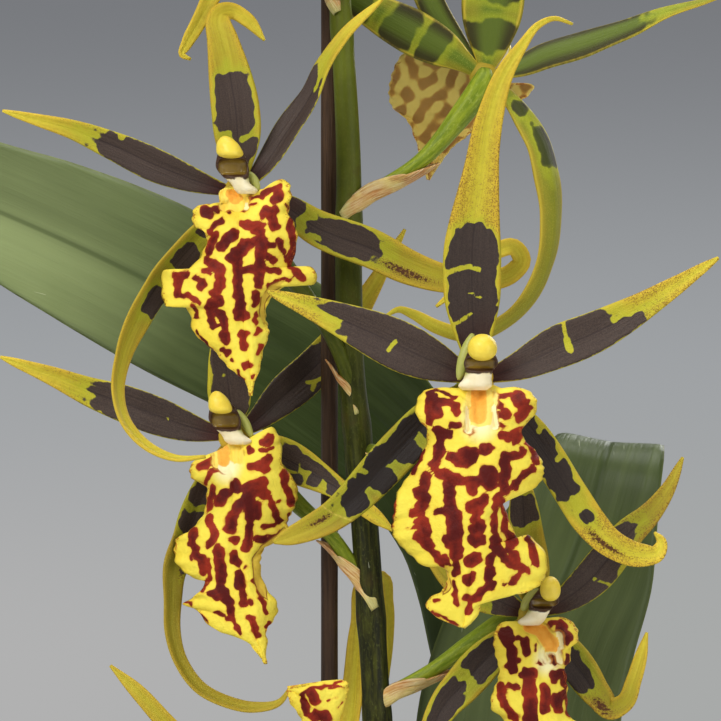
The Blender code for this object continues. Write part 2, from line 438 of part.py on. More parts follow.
def add_tube(name, line, radii, material, collection, closed=False):
    """A round tube as a bevelled curve, then made a mesh with its end caps welded."""
    curve = bpy.data.curves.new(name, "CURVE")
    curve.dimensions = "3D"
    curve.bevel_depth = MM
    curve.bevel_resolution = 2
    curve.use_fill_caps = True
    curve.render_resolution_u = 0
    spline = curve.splines.new("POLY")
    spline.points.add(len(line) - 1)
    for point, place, radius in zip(spline.points, line, radii):
        point.co = (*(float(value) * MM for value in place), 1)
        point.radius = float(radius)
    spline.use_cyclic_u = closed
    guide = bpy.data.objects.new(name + "_line", curve)
    collection.objects.link(guide)
    bpy.context.view_layer.update()
    mesh = bpy.data.meshes.new_from_object(guide.evaluated_get(bpy.context.evaluated_depsgraph_get()))
    build = bmesh.new()
    build.from_mesh(mesh)
    bmesh.ops.remove_doubles(build, verts=build.verts, dist=1e-6)
    build.to_mesh(mesh)
    build.free()
    mesh.shade_smooth()
    obj = add_object(name, mesh, material, collection)
    obj.matrix_world = guide.matrix_world
    bpy.data.objects.remove(guide, do_unlink=True)
    return obj


def add_ellipsoid(name, half_size, centre, segments, rings, material, collection):
    mesh = bpy.data.meshes.new(name)
    build = bmesh.new()
    bmesh.ops.create_uvsphere(build, u_segments=segments, v_segments=rings, radius=1)
    size = Matrix.Diagonal((*(value * MM for value in half_size), 1))
    bmesh.ops.transform(build, verts=build.verts, matrix=Matrix.Translation(Vector(centre) * MM) @ size)
    build.to_mesh(mesh)
    build.free()
    mesh.shade_smooth()
    return add_object(name, mesh, material, collection)


def add_box(name, size, place, turn, material, collection):
    mesh = bpy.data.meshes.new(name)
    build = bmesh.new()
    bmesh.ops.create_cube(build, size=1)
    scale = Matrix.Diagonal((*(value * MM for value in size), 1))
    shape = Matrix.Translation(Vector(place) * MM) @ turn @ scale
    bmesh.ops.transform(build, verts=build.verts, matrix=shape)
    build.to_mesh(mesh)
    build.free()
    return add_object(name, mesh, material, collection)


def add_cylinder(name, radius, bottom, top, place, material, collection):
    mesh = bpy.data.meshes.new(name)
    build = bmesh.new()
    bmesh.ops.create_cone(build, cap_ends=True, segments=HOLE_SEGMENTS, radius1=radius * MM,
                          radius2=radius * MM, depth=(top - bottom) * MM)
    centre = Vector((place[0], place[1], (top + bottom) / 2)) * MM
    bmesh.ops.translate(build, verts=build.verts, vec=centre)
    build.to_mesh(mesh)
    build.free()
    return add_object(name, mesh, material, collection)


def combine(target, others, operation):
    """One Boolean with a collection of the other pieces, applied, and the pieces then removed."""
    pieces = bpy.data.collections.new(target.name + "_pieces")
    bpy.context.scene.collection.children.link(pieces)
    for piece in others:
        for collection in list(piece.users_collection):
            collection.objects.unlink(piece)
        pieces.objects.link(piece)
    boolean = target.modifiers.new("combine", "BOOLEAN")
    boolean.operation = operation
    boolean.operand_type = "COLLECTION"
    boolean.collection = pieces
    bpy.context.view_layer.update()
    apply_modifiers(target)
    for piece in others:
        bpy.data.objects.remove(piece, do_unlink=True)
    bpy.data.collections.remove(pieces)
    keep_largest_body(target)
    return target


def keep_largest_body(obj):
    """Drops scraps that a cut left loose."""
    build = bmesh.new()
    build.from_mesh(obj.data)
    bodies = []
    unseen = set(build.verts)
    while unseen:
        front = [unseen.pop()]
        body = set(front)
        while front:
            vertex = front.pop()
            for edge in vertex.link_edges:
                other = edge.other_vert(vertex)
                if other in unseen:
                    unseen.remove(other)
                    body.add(other)
                    front.append(other)
        bodies.append(body)
    largest = max(bodies, key=len)
    loose = [vertex for vertex in build.verts if vertex not in largest]
    bmesh.ops.delete(build, geom=loose, context="VERTS")
    build.to_mesh(obj.data)
    build.free()


def pot_inner_radius(height):
    share = height / (POT_HEIGHT - POT_RIM_HEIGHT)
    return POT_FOOT_RADIUS + (POT_TOP_RADIUS - POT_FOOT_RADIUS) * share - POT_WALL


def add_turned(name, profile, material, collection):
    """A profile of (radius, height) points, top to bottom on the outside, turned by a Screw."""
    mesh = bpy.data.meshes.new(name)
    vertices = [(radius * MM, 0, height * MM) for radius, height in profile]
    edges = [(i, i + 1) for i in range(len(profile) - 1)]
    mesh.from_pydata(vertices, edges, [])
    obj = add_object(name, mesh, material, collection)
    screw = obj.modifiers.new("turn", "SCREW")
    screw.steps = POT_STEPS
    screw.render_steps = POT_STEPS
    screw.use_merge_vertices = True
    screw.merge_threshold = 1e-6
    screw.use_smooth_shade = True
    return obj


def build_pot(plant, material):
    """Plain tapered pot with a turned-out rim and four drain holes."""
    shoulder = POT_HEIGHT - POT_RIM_HEIGHT
    rim = POT_TOP_RADIUS + POT_RIM_OVERHANG
    profile = [(rim - POT_WALL, POT_HEIGHT), (rim, POT_HEIGHT - 1), (rim, shoulder),
               (POT_TOP_RADIUS, shoulder), (POT_FOOT_RADIUS, 1), (POT_FOOT_RADIUS - 1, 0), (0, 0)]
    inside = [(0, POT_WALL), (pot_inner_radius(0), POT_WALL), (pot_inner_radius(shoulder), shoulder),
              (POT_TOP_RADIUS, shoulder + POT_WALL), (rim - POT_WALL, shoulder + POT_WALL),
              (rim - POT_WALL, POT_HEIGHT)]
    pot = apply_modifiers(add_turned("pot", profile + inside, material, plant))
    weld(pot)
    holes = []
    for i in range(DRAIN_HOLES):
        angle = math.radians(45 + 360 * i / DRAIN_HOLES)
        place = (DRAIN_CIRCLE_RADIUS * math.cos(angle), DRAIN_CIRCLE_RADIUS * math.sin(angle))
        holes.append(add_cylinder(f"drain_hole_{i}", DRAIN_HOLE_RADIUS, -2, 5, place, material, plant))
    return combine(pot, holes, "DIFFERENCE")


def weld(obj):
    build = bmesh.new()
    build.from_mesh(obj.data)
    bmesh.ops.remove_doubles(build, verts=build.verts, dist=1e-6)
    bmesh.ops.dissolve_degenerate(build, edges=build.edges, dist=1e-7)
    bmesh.ops.recalc_face_normals(build, faces=build.faces)
    build.to_mesh(obj.data)
    build.free()


def shape_bulb(obj, centre):
    """Makes an ellipsoid a pseudobulb: ribbed lengthwise and drawn in toward the top."""
    for vertex in obj.data.vertices:
        x, y, z = vertex.co / MM - Vector(centre)
        rise = z / BULB_HALF_SIZE[2]
        angle = math.atan2(y / BULB_HALF_SIZE[1], x / BULB_HALF_SIZE[0])
        ribs = 1 + BULB_RIB_DEPTH * math.cos(BULB_RIBS * angle)
        taper = 1.04 - 0.22 * rise
        vertex.co = (Vector((x * ribs * taper, y * ribs * taper, z)) + Vector(centre)) * MM


def bulb_solid(name, place, extra, material, collection):
    centre = (*place, BULB_CENTRE_HEIGHT)
    half_size = [value + extra for value in BULB_HALF_SIZE]
    bulb = add_ellipsoid(name, half_size, centre, BULB_SEGMENTS, BULB_RINGS, material, collection)
    shape_bulb(bulb, centre)
    return bulb


def build_bark(plant, cutters, material):
    """Bark mix: a filling turned to the pot's taper, chips sunk into its top and a hole for each stem."""
    bottom = POT_WALL + GAP
    profile = [(0, BARK_TOP), (pot_inner_radius(BARK_TOP) - GAP, BARK_TOP),
               (pot_inner_radius(bottom) - GAP, bottom), (0, bottom)]
    bark = apply_modifiers(add_turned("bark_mix", profile, material, plant))
    weld(bark)
    draw = random.Random(BARK_SEED)
    reach = pot_inner_radius(BARK_TOP) - CHIP_SIZE[0] / 2 - 2
    chips = []
    for i in range(BARK_CHIPS):
        angle = i * math.radians(137.5)
        distance = reach * math.sqrt((i + .5) / BARK_CHIPS)
        place = (distance * math.cos(angle), distance * math.sin(angle), BARK_TOP + draw.uniform(.3, 1.4))
        turn = (Matrix.Rotation(draw.uniform(0, math.pi), 4, "Z")
                @ Matrix.Rotation(draw.uniform(-.3, .3), 4, "X")
                @ Matrix.Rotation(draw.uniform(-.25, .25), 4, "Y"))
        size = [value * draw.uniform(.75, 1.1) for value in CHIP_SIZE]
        chips.append(add_box(f"chip_{i}", size, place, turn, material, plant))
    combine(bark, chips, "UNION")
    holes = [add_cylinder("stem_hole", STEM_RADIUS + STEM_HOLE_CLEARANCE, STEM_LINE[0][2] - GAP, HOLE_TOP,
                          STEM_LINE[0][:2], material, cutters),
             add_cylinder("stake_hole", STAKE_RADIUS + GAP, STAKE_FOOT - GAP, HOLE_TOP, STAKE_PLACE, material,
                          cutters)]
    for i, place in enumerate(BULB_PLACES):
        holes.append(bulb_solid(f"bulb_hole_{i}", place, GAP, material, cutters))
    for name in BURIED_LEAVES:
        half_width, outline, line, faces = LEAVES[name]
        foot = Vector(line[0])
        face = Vector(faces[0]).normalized()
        turn = Matrix.Rotation(math.atan2(face.y, face.x), 4, "Z")
        bottom = foot.z - GAP
        size = (LEAF_THICKNESS + LEAF_SLOT_CLEARANCE[0],
                2 * half_width * outline[0][1] + LEAF_SLOT_CLEARANCE[1], HOLE_TOP - bottom)
        place = (foot.x, foot.y, (HOLE_TOP + bottom) / 2)
        holes.append(add_box(name + "_hole", size, place, turn, material, cutters))
    return combine(bark, holes, "DIFFERENCE")


def stem_axis(height):
    line = np.array(STEM_LINE, float)
    return np.array([np.interp(height, line[:, 2], line[:, k]) for k in range(3)])


def stem_radius(height):
    return np.interp(height, [STEM_LINE[0][2], 420, STEM_LINE[-1][2]], [STEM_RADIUS, 2.9, STEM_TIP_RADIUS])


def pedicel_radii(name, count):
    end = OVARY_RADIUS if name.startswith("bloom") else PEDICEL_RADIUS
    radii = [PEDICEL_RADIUS, PEDICEL_RADIUS, end, end * .75]
    return np.interp(np.linspace(0, 1, count), [0, .35, .8, 1], radii)


def build_spike(plant, material):
    """Stem with its flower stalks, grown as one piece."""
    line = smooth_line(STEM_LINE, STEM_ROWS)
    spike = add_tube("spike", line, stem_radius(line[:, 2]), material, plant)
    stalks = []
    for name, points in PEDICELS.items():
        stalk = smooth_line(points, STALK_ROWS)
        stalks.append(add_tube(name + "_stalk", stalk, pedicel_radii(name, STALK_ROWS), material, plant))
    return combine(spike, stalks, "UNION")


def build_stake(plant, material):
    line = [(*STAKE_PLACE, STAKE_FOOT), (*STAKE_PLACE, STAKE_TOP)]
    return add_tube("stake", line, [STAKE_RADIUS] * 2, material, plant)


def build_clip(name, height, plant, material):
    """A wire loop round the stem and the stake: the outline of both circles, a gap clear of them."""
    stem, stake = stem_axis(height)[:2], np.array(STAKE_PLACE)
    stem_loop = float(stem_radius(height)) + CLIP_STEM_CLEARANCE + CLIP_WIRE_RADIUS
    stake_loop = STAKE_RADIUS + CLIP_STAKE_CLEARANCE + CLIP_WIRE_RADIUS
    apart = stake - stem
    heading = math.atan2(apart[1], apart[0])
    lean = math.acos((stem_loop - stake_loop) / np.linalg.norm(apart))
    points = []
    for share in np.linspace(0, 1, 9):
        angle = heading + lean + share * (2 * math.pi - 2 * lean)
        points.append((*(stem + stem_loop * np.array([math.cos(angle), math.sin(angle)])), height))
    for share in np.linspace(0, 1, 7):
        angle = heading - lean + share * 2 * lean
        points.append((*(stake + stake_loop * np.array([math.cos(angle), math.sin(angle)])), height))
    return add_tube(name, points, [CLIP_WIRE_RADIUS] * len(points), material, plant, closed=True)


def build_bract(name, plant, material):
    """Papery bract under a flower stalk, a gap clear of the stalk and of the stem."""
    stalk = smooth_line(PEDICELS[name], LINE_SAMPLES)
    run = np.concatenate([[0], np.cumsum(np.linalg.norm(np.diff(stalk, axis=0), axis=1))])
    axis = np.array([stem_axis(point[2]) for point in stalk])
    out = np.linalg.norm((stalk - axis)[:, :2], axis=1)
    clear = float(stem_radius(stalk[0][2])) + GAP + BRACT_STEM_CLEARANCE
    start = run[int(np.argmax(out > clear))]
    at = np.linspace(start, min(start + BRACT_SPAN[name], run[-1] * BRACT_END_SHARE), BRACT_ROWS)
    line = np.stack([np.interp(at, run, stalk[:, k]) for k in range(3)], -1)
    tangent = unit(np.gradient(line, axis=0))
    under = np.array(BRACT_SIDE)
    under = unit(under - tangent * (tangent @ under)[:, None])
    away = PEDICEL_RADIUS + BRACT_STALK_CLEARANCE + np.linspace(0, BRACT_OPENING, BRACT_ROWS)[:, None]
    rows = blade(line + under * away, BRACT_HALF_WIDTH, BRACT_OUTLINE, -under, keel=BRACT_KEEL)
    return add_sheet(name + "_bract", rows, BRACT_THICKNESS, material, plant)


def build_tepals(name, bloom, plant, material):
    """Three sepals and two petals on the small core that joins them."""
    centre = np.array(bloom["centre"], float)
    core_centre = centre + CORE_FORWARD * np.array(bloom["face"])
    core = add_ellipsoid(name + "_tepals", CORE_HALF_SIZE, core_centre, 10, 6, material, plant)
    outlines = dict(dorsal=DORSAL_OUTLINE, petal_left=PETAL_OUTLINE, petal_right=PETAL_OUTLINE,
                    sepal_left=SEPAL_OUTLINE, sepal_right=SEPAL_OUTLINE)
    tepals = []
    for part, outline in outlines.items():
        half_width, roll, points = bloom[part]
        line = smooth_line(points, LINE_SAMPLES)
        run = np.concatenate([[0], np.cumsum(np.linalg.norm(np.diff(line, axis=0), axis=1))])
        at = np.linspace(TEPAL_START, run[-1], TEPAL_ROWS)
        line = centre + np.stack([np.interp(at, run, line[:, k]) for k in range(3)], -1)
        rows = blade(line, half_width, outline, [bloom["face"]] * 2, roll, TEPAL_KEEL)
        tepals.append(add_sheet(f"{name}_{part}", rows, TEPAL_THICKNESS, material, plant))
    return combine(core, tepals, "UNION")


def build_lip(name, bloom, plant, material):
    """Lip: rows that run from its left edge over the middle to its right edge."""
    centre = np.array(bloom["centre"], float)
    lines = ("lip_left", "lip_middle", "lip_right")
    left, middle, right = (np.array(bloom[key], float) + centre for key in lines)
    rows = np.stack([left, (left + middle) / 2, middle, (middle + right) / 2, right], 1)
    return add_sheet(name + "_lip", rows, LIP_THICKNESS, material, plant)


def build_column(name, bloom, plant, material):
    """Column with its cap: a tube that swells at the end."""
    line = smooth_line(np.array(bloom["column"], float) + np.array(bloom["centre"], float),
                       COLUMN_ROWS)
    radii = COLUMN_RADIUS * outline_width(COLUMN_PROFILE, COLUMN_ROWS)
    return add_tube(name + "_column", line, radii, material, plant)


def build_bud(name, plant, material):
    """Closed bud, a gap beyond the end of its stalk."""
    foot = np.array(PEDICELS[name][-1], float)
    heading = unit(foot - np.array(PEDICELS[name][-2], float))
    length = BUD_LENGTHS[name]
    at = np.linspace(GAP, length, BUD_ROWS)[:, None]
    line = foot + heading * at
    radii = length * BUD_RADIUS_SHARE * outline_width(BUD_PROFILE, BUD_ROWS)
    return add_tube(name, line, radii, material, plant)


def build_leaf(name, plant, material):
    half_width, outline, points, faces = LEAVES[name]
    rows = blade(smooth_line(points, LEAF_ROWS), half_width, outline, faces, keel=LEAF_KEEL)
    return add_sheet(name, rows, LEAF_THICKNESS, material, plant)


def main():
    clear_scene()
    plant = make_collection("cambria_orchid")
    cutters = make_collection("cutters", cutters=True)
    paint = {name: make_material(name) for name in COLOURS}
    build_pot(plant, paint["pot"])
    build_bark(plant, cutters, paint["bark"])
    for i, place in enumerate(BULB_PLACES):
        bulb_solid(f"pseudobulb_{i + 1}", place, 0, paint["bulb"], plant)
    for name in LEAVES:
        build_leaf(name, plant, paint["leaf"])
    build_spike(plant, paint["stem"])
    build_stake(plant, paint["stake"])
    for i, height in enumerate(CLIP_HEIGHTS):
        build_clip(f"clip_{i + 1}", height, plant, paint["clip"])
    for name in PEDICELS:
        build_bract(name, plant, paint["bract"])
    for name, bloom in BLOOMS.items():
        build_tepals(name, bloom, plant, paint["tepal"])
        build_lip(name, bloom, plant, paint["lip"])
        build_column(name, bloom, plant, paint["column"])
    for name in BUD_LENGTHS:
        build_bud(name, plant, paint["bud"])


main()
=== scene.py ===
"""Looks of the potted cambria orchid.

Lengths are in millimetres and become metres where a mesh is made.
+X is right, +Y is toward the back and +Z is up. The origin is the centre of the pot's underside.
"""
import math

import bpy
import numpy as np
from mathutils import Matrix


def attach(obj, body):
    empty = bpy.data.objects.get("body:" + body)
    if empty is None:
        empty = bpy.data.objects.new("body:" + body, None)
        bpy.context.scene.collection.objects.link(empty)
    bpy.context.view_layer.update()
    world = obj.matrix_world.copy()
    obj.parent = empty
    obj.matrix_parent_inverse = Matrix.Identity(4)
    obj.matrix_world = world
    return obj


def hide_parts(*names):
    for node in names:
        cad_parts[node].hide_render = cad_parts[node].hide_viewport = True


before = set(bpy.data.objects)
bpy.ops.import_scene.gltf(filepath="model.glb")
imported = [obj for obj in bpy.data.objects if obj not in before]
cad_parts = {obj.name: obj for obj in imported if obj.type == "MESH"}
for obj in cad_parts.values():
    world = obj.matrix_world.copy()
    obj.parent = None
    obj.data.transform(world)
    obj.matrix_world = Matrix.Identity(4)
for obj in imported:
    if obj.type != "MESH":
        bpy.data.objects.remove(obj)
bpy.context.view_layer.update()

# Studio: a grey backdrop that darkens toward the top, a pale floor that fades into it, and soft panel lamps.
# The camera stands level with the middle of the spike, as the photograph's did.
# places and sizes in metres; each lamp's place, size and power
CAMERA_PLACE = (0, -.8, .4)
PICTURE_HALF_WIDTH = .083
PANELS = {
    "key": ((-1.2, -1.7, 1.7), 1.3, 50),
    "fill": ((1.6, -1.5, .7), 1.4, 16),
    "top": ((.1, .2, 2.3), 1.2, 22),
    "back": ((.9, 1.6, 1.3), 1.0, 18),
}
PANEL_AIM = (0, 0, .36)
FLOOR_RADIUS = 2.6
FLOOR_CORNERS = 96


def screen(red, green, blue):
    """A screen colour of 0 to 255 as the light values of a shader."""
    return (*(((value / 255 + .055) / 1.055) ** 2.4 for value in (red, green, blue)), 1)


class Shade:
    """A value in a node tree. Arithmetic on it adds the Math nodes that work it out."""

    def __init__(self, tree, socket=None):
        self.tree, self.socket = tree, socket

    def node(self, kind, settings=(), sockets=(), out=0):
        """Adds a node of any kind: first its settings, then the values or links of its sockets."""
        node = self.tree.nodes.new(kind)
        for key, value in dict(settings).items():
            setattr(node, key, value)
        for key, value in dict(sockets).items():
            if isinstance(value, Shade):
                self.tree.links.new(value.socket, node.inputs[key])
            else:
                node.inputs[key].default_value = value
        return Shade(self.tree, node.outputs[out])

    def maths(self, operation, first, second=0.0):
        return self.node("ShaderNodeMath", {"operation": operation}, {0: first, 1: second})

    def __add__(self, other):
        return self.maths("ADD", self, other)

    def __radd__(self, other):
        return self.maths("ADD", other, self)

    def __sub__(self, other):
        return self.maths("SUBTRACT", self, other)

    def __rsub__(self, other):
        return self.maths("SUBTRACT", other, self)

    def __mul__(self, other):
        return self.maths("MULTIPLY", self, other)

    def __rmul__(self, other):
        return self.maths("MULTIPLY", other, self)

    def __abs__(self):
        return self.maths("ABSOLUTE", self)


def ease(value, low, high):
    """0 below low and 1 above high, with a smooth step between."""
    return value.node("ShaderNodeMapRange", {"interpolation_type": "SMOOTHSTEP"}, {0: value, 1: low, 2: high})


def tint(share, first, second):
    """The first colour where the share is 0 and the second where it is 1."""
    return share.node("ShaderNodeMix", {"data_type": "RGBA"}, {0: share, 6: first, 7: second}, 2)


def grain(shade, place, scale, detail=2.0, roughness=.5):
    """Soft random values from 0 to 1 at a place."""
    return shade.node("ShaderNodeTexNoise", (), {"Vector": place, "Scale": scale, "Detail": detail,
                                                 "Roughness": roughness})


def object_place(shade):
    """The place on an object, in its own frame."""
    return shade.node("ShaderNodeTexCoord", (), (), "Object")


scene = bpy.context.scene
scene.view_settings.view_transform = "Standard"
backdrop = bpy.data.worlds.new("backdrop")
backdrop.use_nodes = True
scene.world = backdrop
sky = Shade(backdrop.node_tree)
heading = sky.node("ShaderNodeTexCoord")
rise = sky.node("ShaderNodeSeparateXYZ", (), {0: heading}, 2)
across = sky.node("ShaderNodeSeparateXYZ", (), {0: heading}, 0)
low = tint(ease(across, -.1, .1), screen(177, 177, 177), screen(168, 170, 169))
grey = tint(ease(rise, -.09, .02), low, screen(158, 161, 164))
grey = tint(ease(rise, -.01, .115), grey, screen(119, 121, 125))
backdrop.node_tree.links.new(grey.socket, backdrop.node_tree.nodes["Background"].inputs["Color"])

camera = bpy.data.objects.new("camera", bpy.data.cameras.new("camera"))
camera.location = CAMERA_PLACE
camera.rotation_euler = (math.pi / 2, 0, 0)
camera.data.angle = 2 * math.atan(PICTURE_HALF_WIDTH / -CAMERA_PLACE[1])
camera.data.clip_start = .05
scene.collection.objects.link(camera)
scene.camera = camera

for name, (place, size, power) in PANELS.items():
    panel = bpy.data.lights.new(name, "AREA")
    panel.size = size
    panel.energy = power
    lamp = bpy.data.objects.new(name, panel)
    lamp.location = place
    aim = np.array(PANEL_AIM) - place
    bearing = math.atan2(aim[1], aim[0])
    lamp.rotation_euler = (math.acos(-aim[2] / np.linalg.norm(aim)), 0, bearing - math.pi / 2)
    lamp.visible_camera = False
    scene.collection.objects.link(lamp)

angle = np.linspace(0, 2 * math.pi, FLOOR_CORNERS, endpoint=False)
floor_mesh = bpy.data.meshes.new("floor")
rim = np.stack([np.cos(angle), np.sin(angle), 0 * angle], -1) * FLOOR_RADIUS
floor_mesh.from_pydata(rim.tolist(), [], [list(range(FLOOR_CORNERS))])
floor = bpy.data.objects.new("floor", floor_mesh)
scene.collection.objects.link(floor)
paper = bpy.data.materials.new("pale floor")
paper.use_nodes = True
shade = Shade(paper.node_tree)
spot = object_place(shade)
away = shade.node("ShaderNodeVectorMath", {"operation": "LENGTH"}, {0: spot}, "Value")
shader = paper.node_tree.nodes["Principled BSDF"]
shader.inputs["Base Color"].default_value = (.62, .63, .64, 1)
shader.inputs["Roughness"].default_value = .8
paper.node_tree.links.new(ease(away, FLOOR_RADIUS * .98, .9).socket, shader.inputs["Alpha"])
floor_mesh.materials.append(paper)

# Pot: a plain tapered pot of satin black plastic with a turned-out rim.
# It is moulded in one piece with four drain holes in its base.
MM = 0.001
DRAIN_HOLE_RADIUS = 4.0
DRAIN_CIRCLE_RADIUS = 26.0
DRAIN_HOLES = 4
# (radius, height) from the middle of the base, up the outside, over the rim and down the inside
POT_PROFILE = [(3, 0), (12, 0), (22, 0), (32, 0), (40.2, 0), (41.2, .25), (41.8, .9), (42.1, 2.2),
    (45.6, 25), (49.3, 48), (53, 71), (56.6, 94), (57.9, 102.2), (58.2, 102.8), (59, 103), (60.3, 103),
    (60.8, 103.3), (61, 104), (61, 107.5), (61, 111), (60.8, 111.6), (60.3, 112), (59.8, 111.9),
    (59.45, 111.5), (59.4, 110.5), (59.4, 106), (59.2, 104.9), (58, 104.6), (57, 104.4), (56.3, 103),
    (54, 88), (50, 63), (46, 38), (42, 12), (40.6, 2.6), (39.6, 1.7), (32, 1.6), (22, 1.6), (12, 1.6),
    (3, 1.6)]


def skin(name, shells, finish, fields=None):
    """Closed surfaces from rings of points: quads from ring to ring, and a pole at the middle of each end.

    A shell is an array of (ring, point, xyz). Each field gives one value a point, in an array a shell.
    """
    fields = fields or {}
    points, faces, values = [], [], {key: [] for key in fields}
    start = 0
    for index, rings in enumerate(shells):
        rows, around = rings.shape[:2]
        here = start + np.arange(rows * around).reshape(rows, around)
        beside = np.roll(here, -1, axis=1)
        quads = np.stack([here[:-1], beside[:-1], beside[1:], here[1:]], -1).reshape(-1, 4)
        pole = start + rows * around
        fans = np.concatenate([np.stack([beside[0], here[0], np.full(around, pole)], -1),
                               np.stack([here[-1], beside[-1], np.full(around, pole + 1)], -1)])
        co = np.concatenate([rings.reshape(-1, 3), rings[:1].mean(1), rings[-1:].mean(1)])
        corners = co[np.concatenate([quads[:, :3], quads[:, [0, 2, 3]], fans]) - start]
        middle = corners - co.mean(0)
        if np.einsum("ij,ij->", middle[:, 0], np.cross(middle[:, 1], middle[:, 2])) < 0:
            quads, fans = quads[:, ::-1], fans[:, ::-1]
        faces += quads.tolist() + fans.tolist()
        points.append(co)
        for key, lists in fields.items():
            value = np.broadcast_to(np.asarray(lists[index], float), (rows, around))
            values[key].append(np.concatenate([value.ravel(), [value[0].mean(), value[-1].mean()]]))
        start += len(co)
    mesh = bpy.data.meshes.new(name)
    mesh.from_pydata((np.concatenate(points) * MM).tolist(), [], faces)
    for key, lists in values.items():
        field = mesh.attributes.new(key, "FLOAT", "POINT")
        field.data.foreach_set("value", np.concatenate(lists).astype(np.float32))
    mesh.shade_smooth()
    mesh.materials.append(finish)
    piece = bpy.data.objects.new(name, mesh)
    scene.collection.objects.link(piece)
    return piece


def settle(piece, slot, *nodes):
    """Rides a piece on the plant and hides the nodes that it stands for. Its slot is not used."""
    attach(piece, "root")
    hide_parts(*nodes)


def finish_of(name, **sockets):
    """A material, a Shade to build its nodes with, and its shader with the constant sockets set."""
    material = bpy.data.materials.new(name)
    material.use_nodes = True
    shader = material.node_tree.nodes["Principled BSDF"]
    for socket, value in sockets.items():
        shader.inputs[socket.replace("_", " ")].default_value = value
    return material, Shade(material.node_tree), shader


def feed(shader, socket, shade):
    shade.tree.links.new(shade.socket, shader.inputs[socket])


def relief(shader, height, depth):
    """Bump of a height from 0 to 1, depth metres deep."""
    feed(shader, "Normal", height.node("ShaderNodeBump", (), {"Height": height, "Distance": depth}))


def turned(profile, around):
    """Rings round the Z axis from a profile of (radius, height) points."""
    profile = np.array(profile, float)
    turn = np.linspace(0, 2 * math.pi, around, endpoint=False)
    radius, height = profile[:, :1], profile[:, 1:]
    return np.stack([radius * np.cos(turn), radius * np.sin(turn), height + 0 * turn], -1)


def curve_through(at, keys, values):
    """Cubic pieces through values at keys: each value keeps the mean slope of its neighbours."""
    keys, values = np.array(keys, float), np.array(values, float)
    slopes = np.gradient(values, keys, axis=0)
    piece = np.clip(np.searchsorted(keys, at, side="right") - 1, 0, len(keys) - 2)
    shape = (-1,) + (1,) * (values.ndim - 1)
    span = (keys[piece + 1] - keys[piece]).reshape(shape)
    u = (at - keys[piece]).reshape(shape) / span
    return ((2 * u**3 - 3 * u**2 + 1) * values[piece] + (u**3 - 2 * u**2 + u) * span * slopes[piece]
            + (3 * u**2 - 2 * u**3) * values[piece + 1] + (u**3 - u**2) * span * slopes[piece + 1])


pot_black, shade, shader = finish_of("satin black plastic")
spot = object_place(shade)
dust = ease(grain(shade, spot, 28, 5, .65), .48, .75)
feed(shader, "Base Color", tint(dust * .5, (.022, .021, .02, 1), (.085, .078, .068, 1)))
pebble = grain(shade, spot, 900, 2)
feed(shader, "Roughness", .38 + dust * .25 + pebble * .1)
relief(shader, pebble, .00012)
pot = skin("pot_moulding", [turned(POT_PROFILE, 144)], pot_black)
for turn in np.radians(45 + 360 * np.arange(DRAIN_HOLES) / DRAIN_HOLES):
    drill = turned([(DRAIN_HOLE_RADIUS, -2), (DRAIN_HOLE_RADIUS, 5)], 32)
    drill += DRAIN_CIRCLE_RADIUS * np.array([math.cos(turn), math.sin(turn), 0])
    drill = skin("drill", [drill], pot_black)
    cut = pot.modifiers.new("drain hole", "BOOLEAN")
    cut.object = drill
    bpy.context.view_layer.update()
    drilled = bpy.data.meshes.new_from_object(pot.evaluated_get(bpy.context.evaluated_depsgraph_get()))
    pot.modifiers.clear()
    pot.data = drilled
    bpy.data.objects.remove(drill, do_unlink=True)
settle(pot, "pot", "pot")

# Bark mix: coarse chips of pine bark, dry on top, that the roots hold to.
# The chips lie loose on the filling, and leave room for the stem, the stake and the bulbs.
BARK_TOP = 94.5
CHIPS = 330
CHIP_LENGTHS = (8.0, 19.0)
CHIP_CIRCLE_RADIUS = 54.5
# the most that a chip's middle may lie from the axis, plus .35 of its length: the pot's inside is about 55 there
CHIP_LIMIT = 57.5
GOLDEN_ANGLE = 2.39996
BULB_PLACES = [(1.0, 24.0), (-24.0, 20.0), (26.0, 20.0)]
BULB_ROOM = (13.5, 19)
# round spots that stay clear: the place of each and its radius
KEEP_CLEAR = [(14.6, .5, 4.5), (-7.2, 6, 3.5), (41, 12, 5), (41, 30, 5), (-39, 19, 5)]


def carried(shade, *keys):
    """The values that a mesh carries under the keys."""
    return [shade.node("ShaderNodeAttribute", {"attribute_name": key}, (), "Fac") for key in keys]


bark_brown, shade, shader = finish_of("pine bark")
spot = object_place(shade)
tone = carried(shade, "tone")[0]
layers = grain(shade, spot, 420, 6, .7)
brown = tint(tone, screen(92, 62, 42), screen(150, 108, 74))
brown = tint(ease(layers, .35, .62), screen(58, 38, 26), brown)
dust = ease(grain(shade, spot, 160, 4), .62, .75)
feed(shader, "Base Color", tint(dust * .5, brown, screen(170, 150, 126)))
shader.inputs["Roughness"].default_value = .9
relief(shader, layers, .0012)
draw = np.random.default_rng(7)
order = np.arange(CHIPS)
spiral = CHIP_CIRCLE_RADIUS * np.sqrt((order * 2.0 % CHIPS + .5) / CHIPS)
turn = order * GOLDEN_ANGLE
place = np.stack([spiral * np.cos(turn), spiral * np.sin(turn)], -1)
place += draw.uniform(-1.5, 1.5, place.shape)
bulbs = np.array([np.hypot(*((place - bulb) / BULB_ROOM).T) for bulb in BULB_PLACES]).min(0)
clear = np.array([np.hypot(place[:, 0] - x, place[:, 1] - y) - reach for x, y, reach in KEEP_CLEAR]).min(0)
length = draw.uniform(*CHIP_LENGTHS, CHIPS)
fits = (bulbs > 1) & (clear > 2.5) & (np.hypot(*place.T) + length * .35 < CHIP_LIMIT)
place, length = place[fits], length[fits]
count = len(place)
step = np.linspace(-1, 1, 5)
turn = np.linspace(0, 2 * math.pi, 8, endpoint=False)
body = (1 - np.abs(step[:, None]) ** 3) ** .4 * .9 + .1
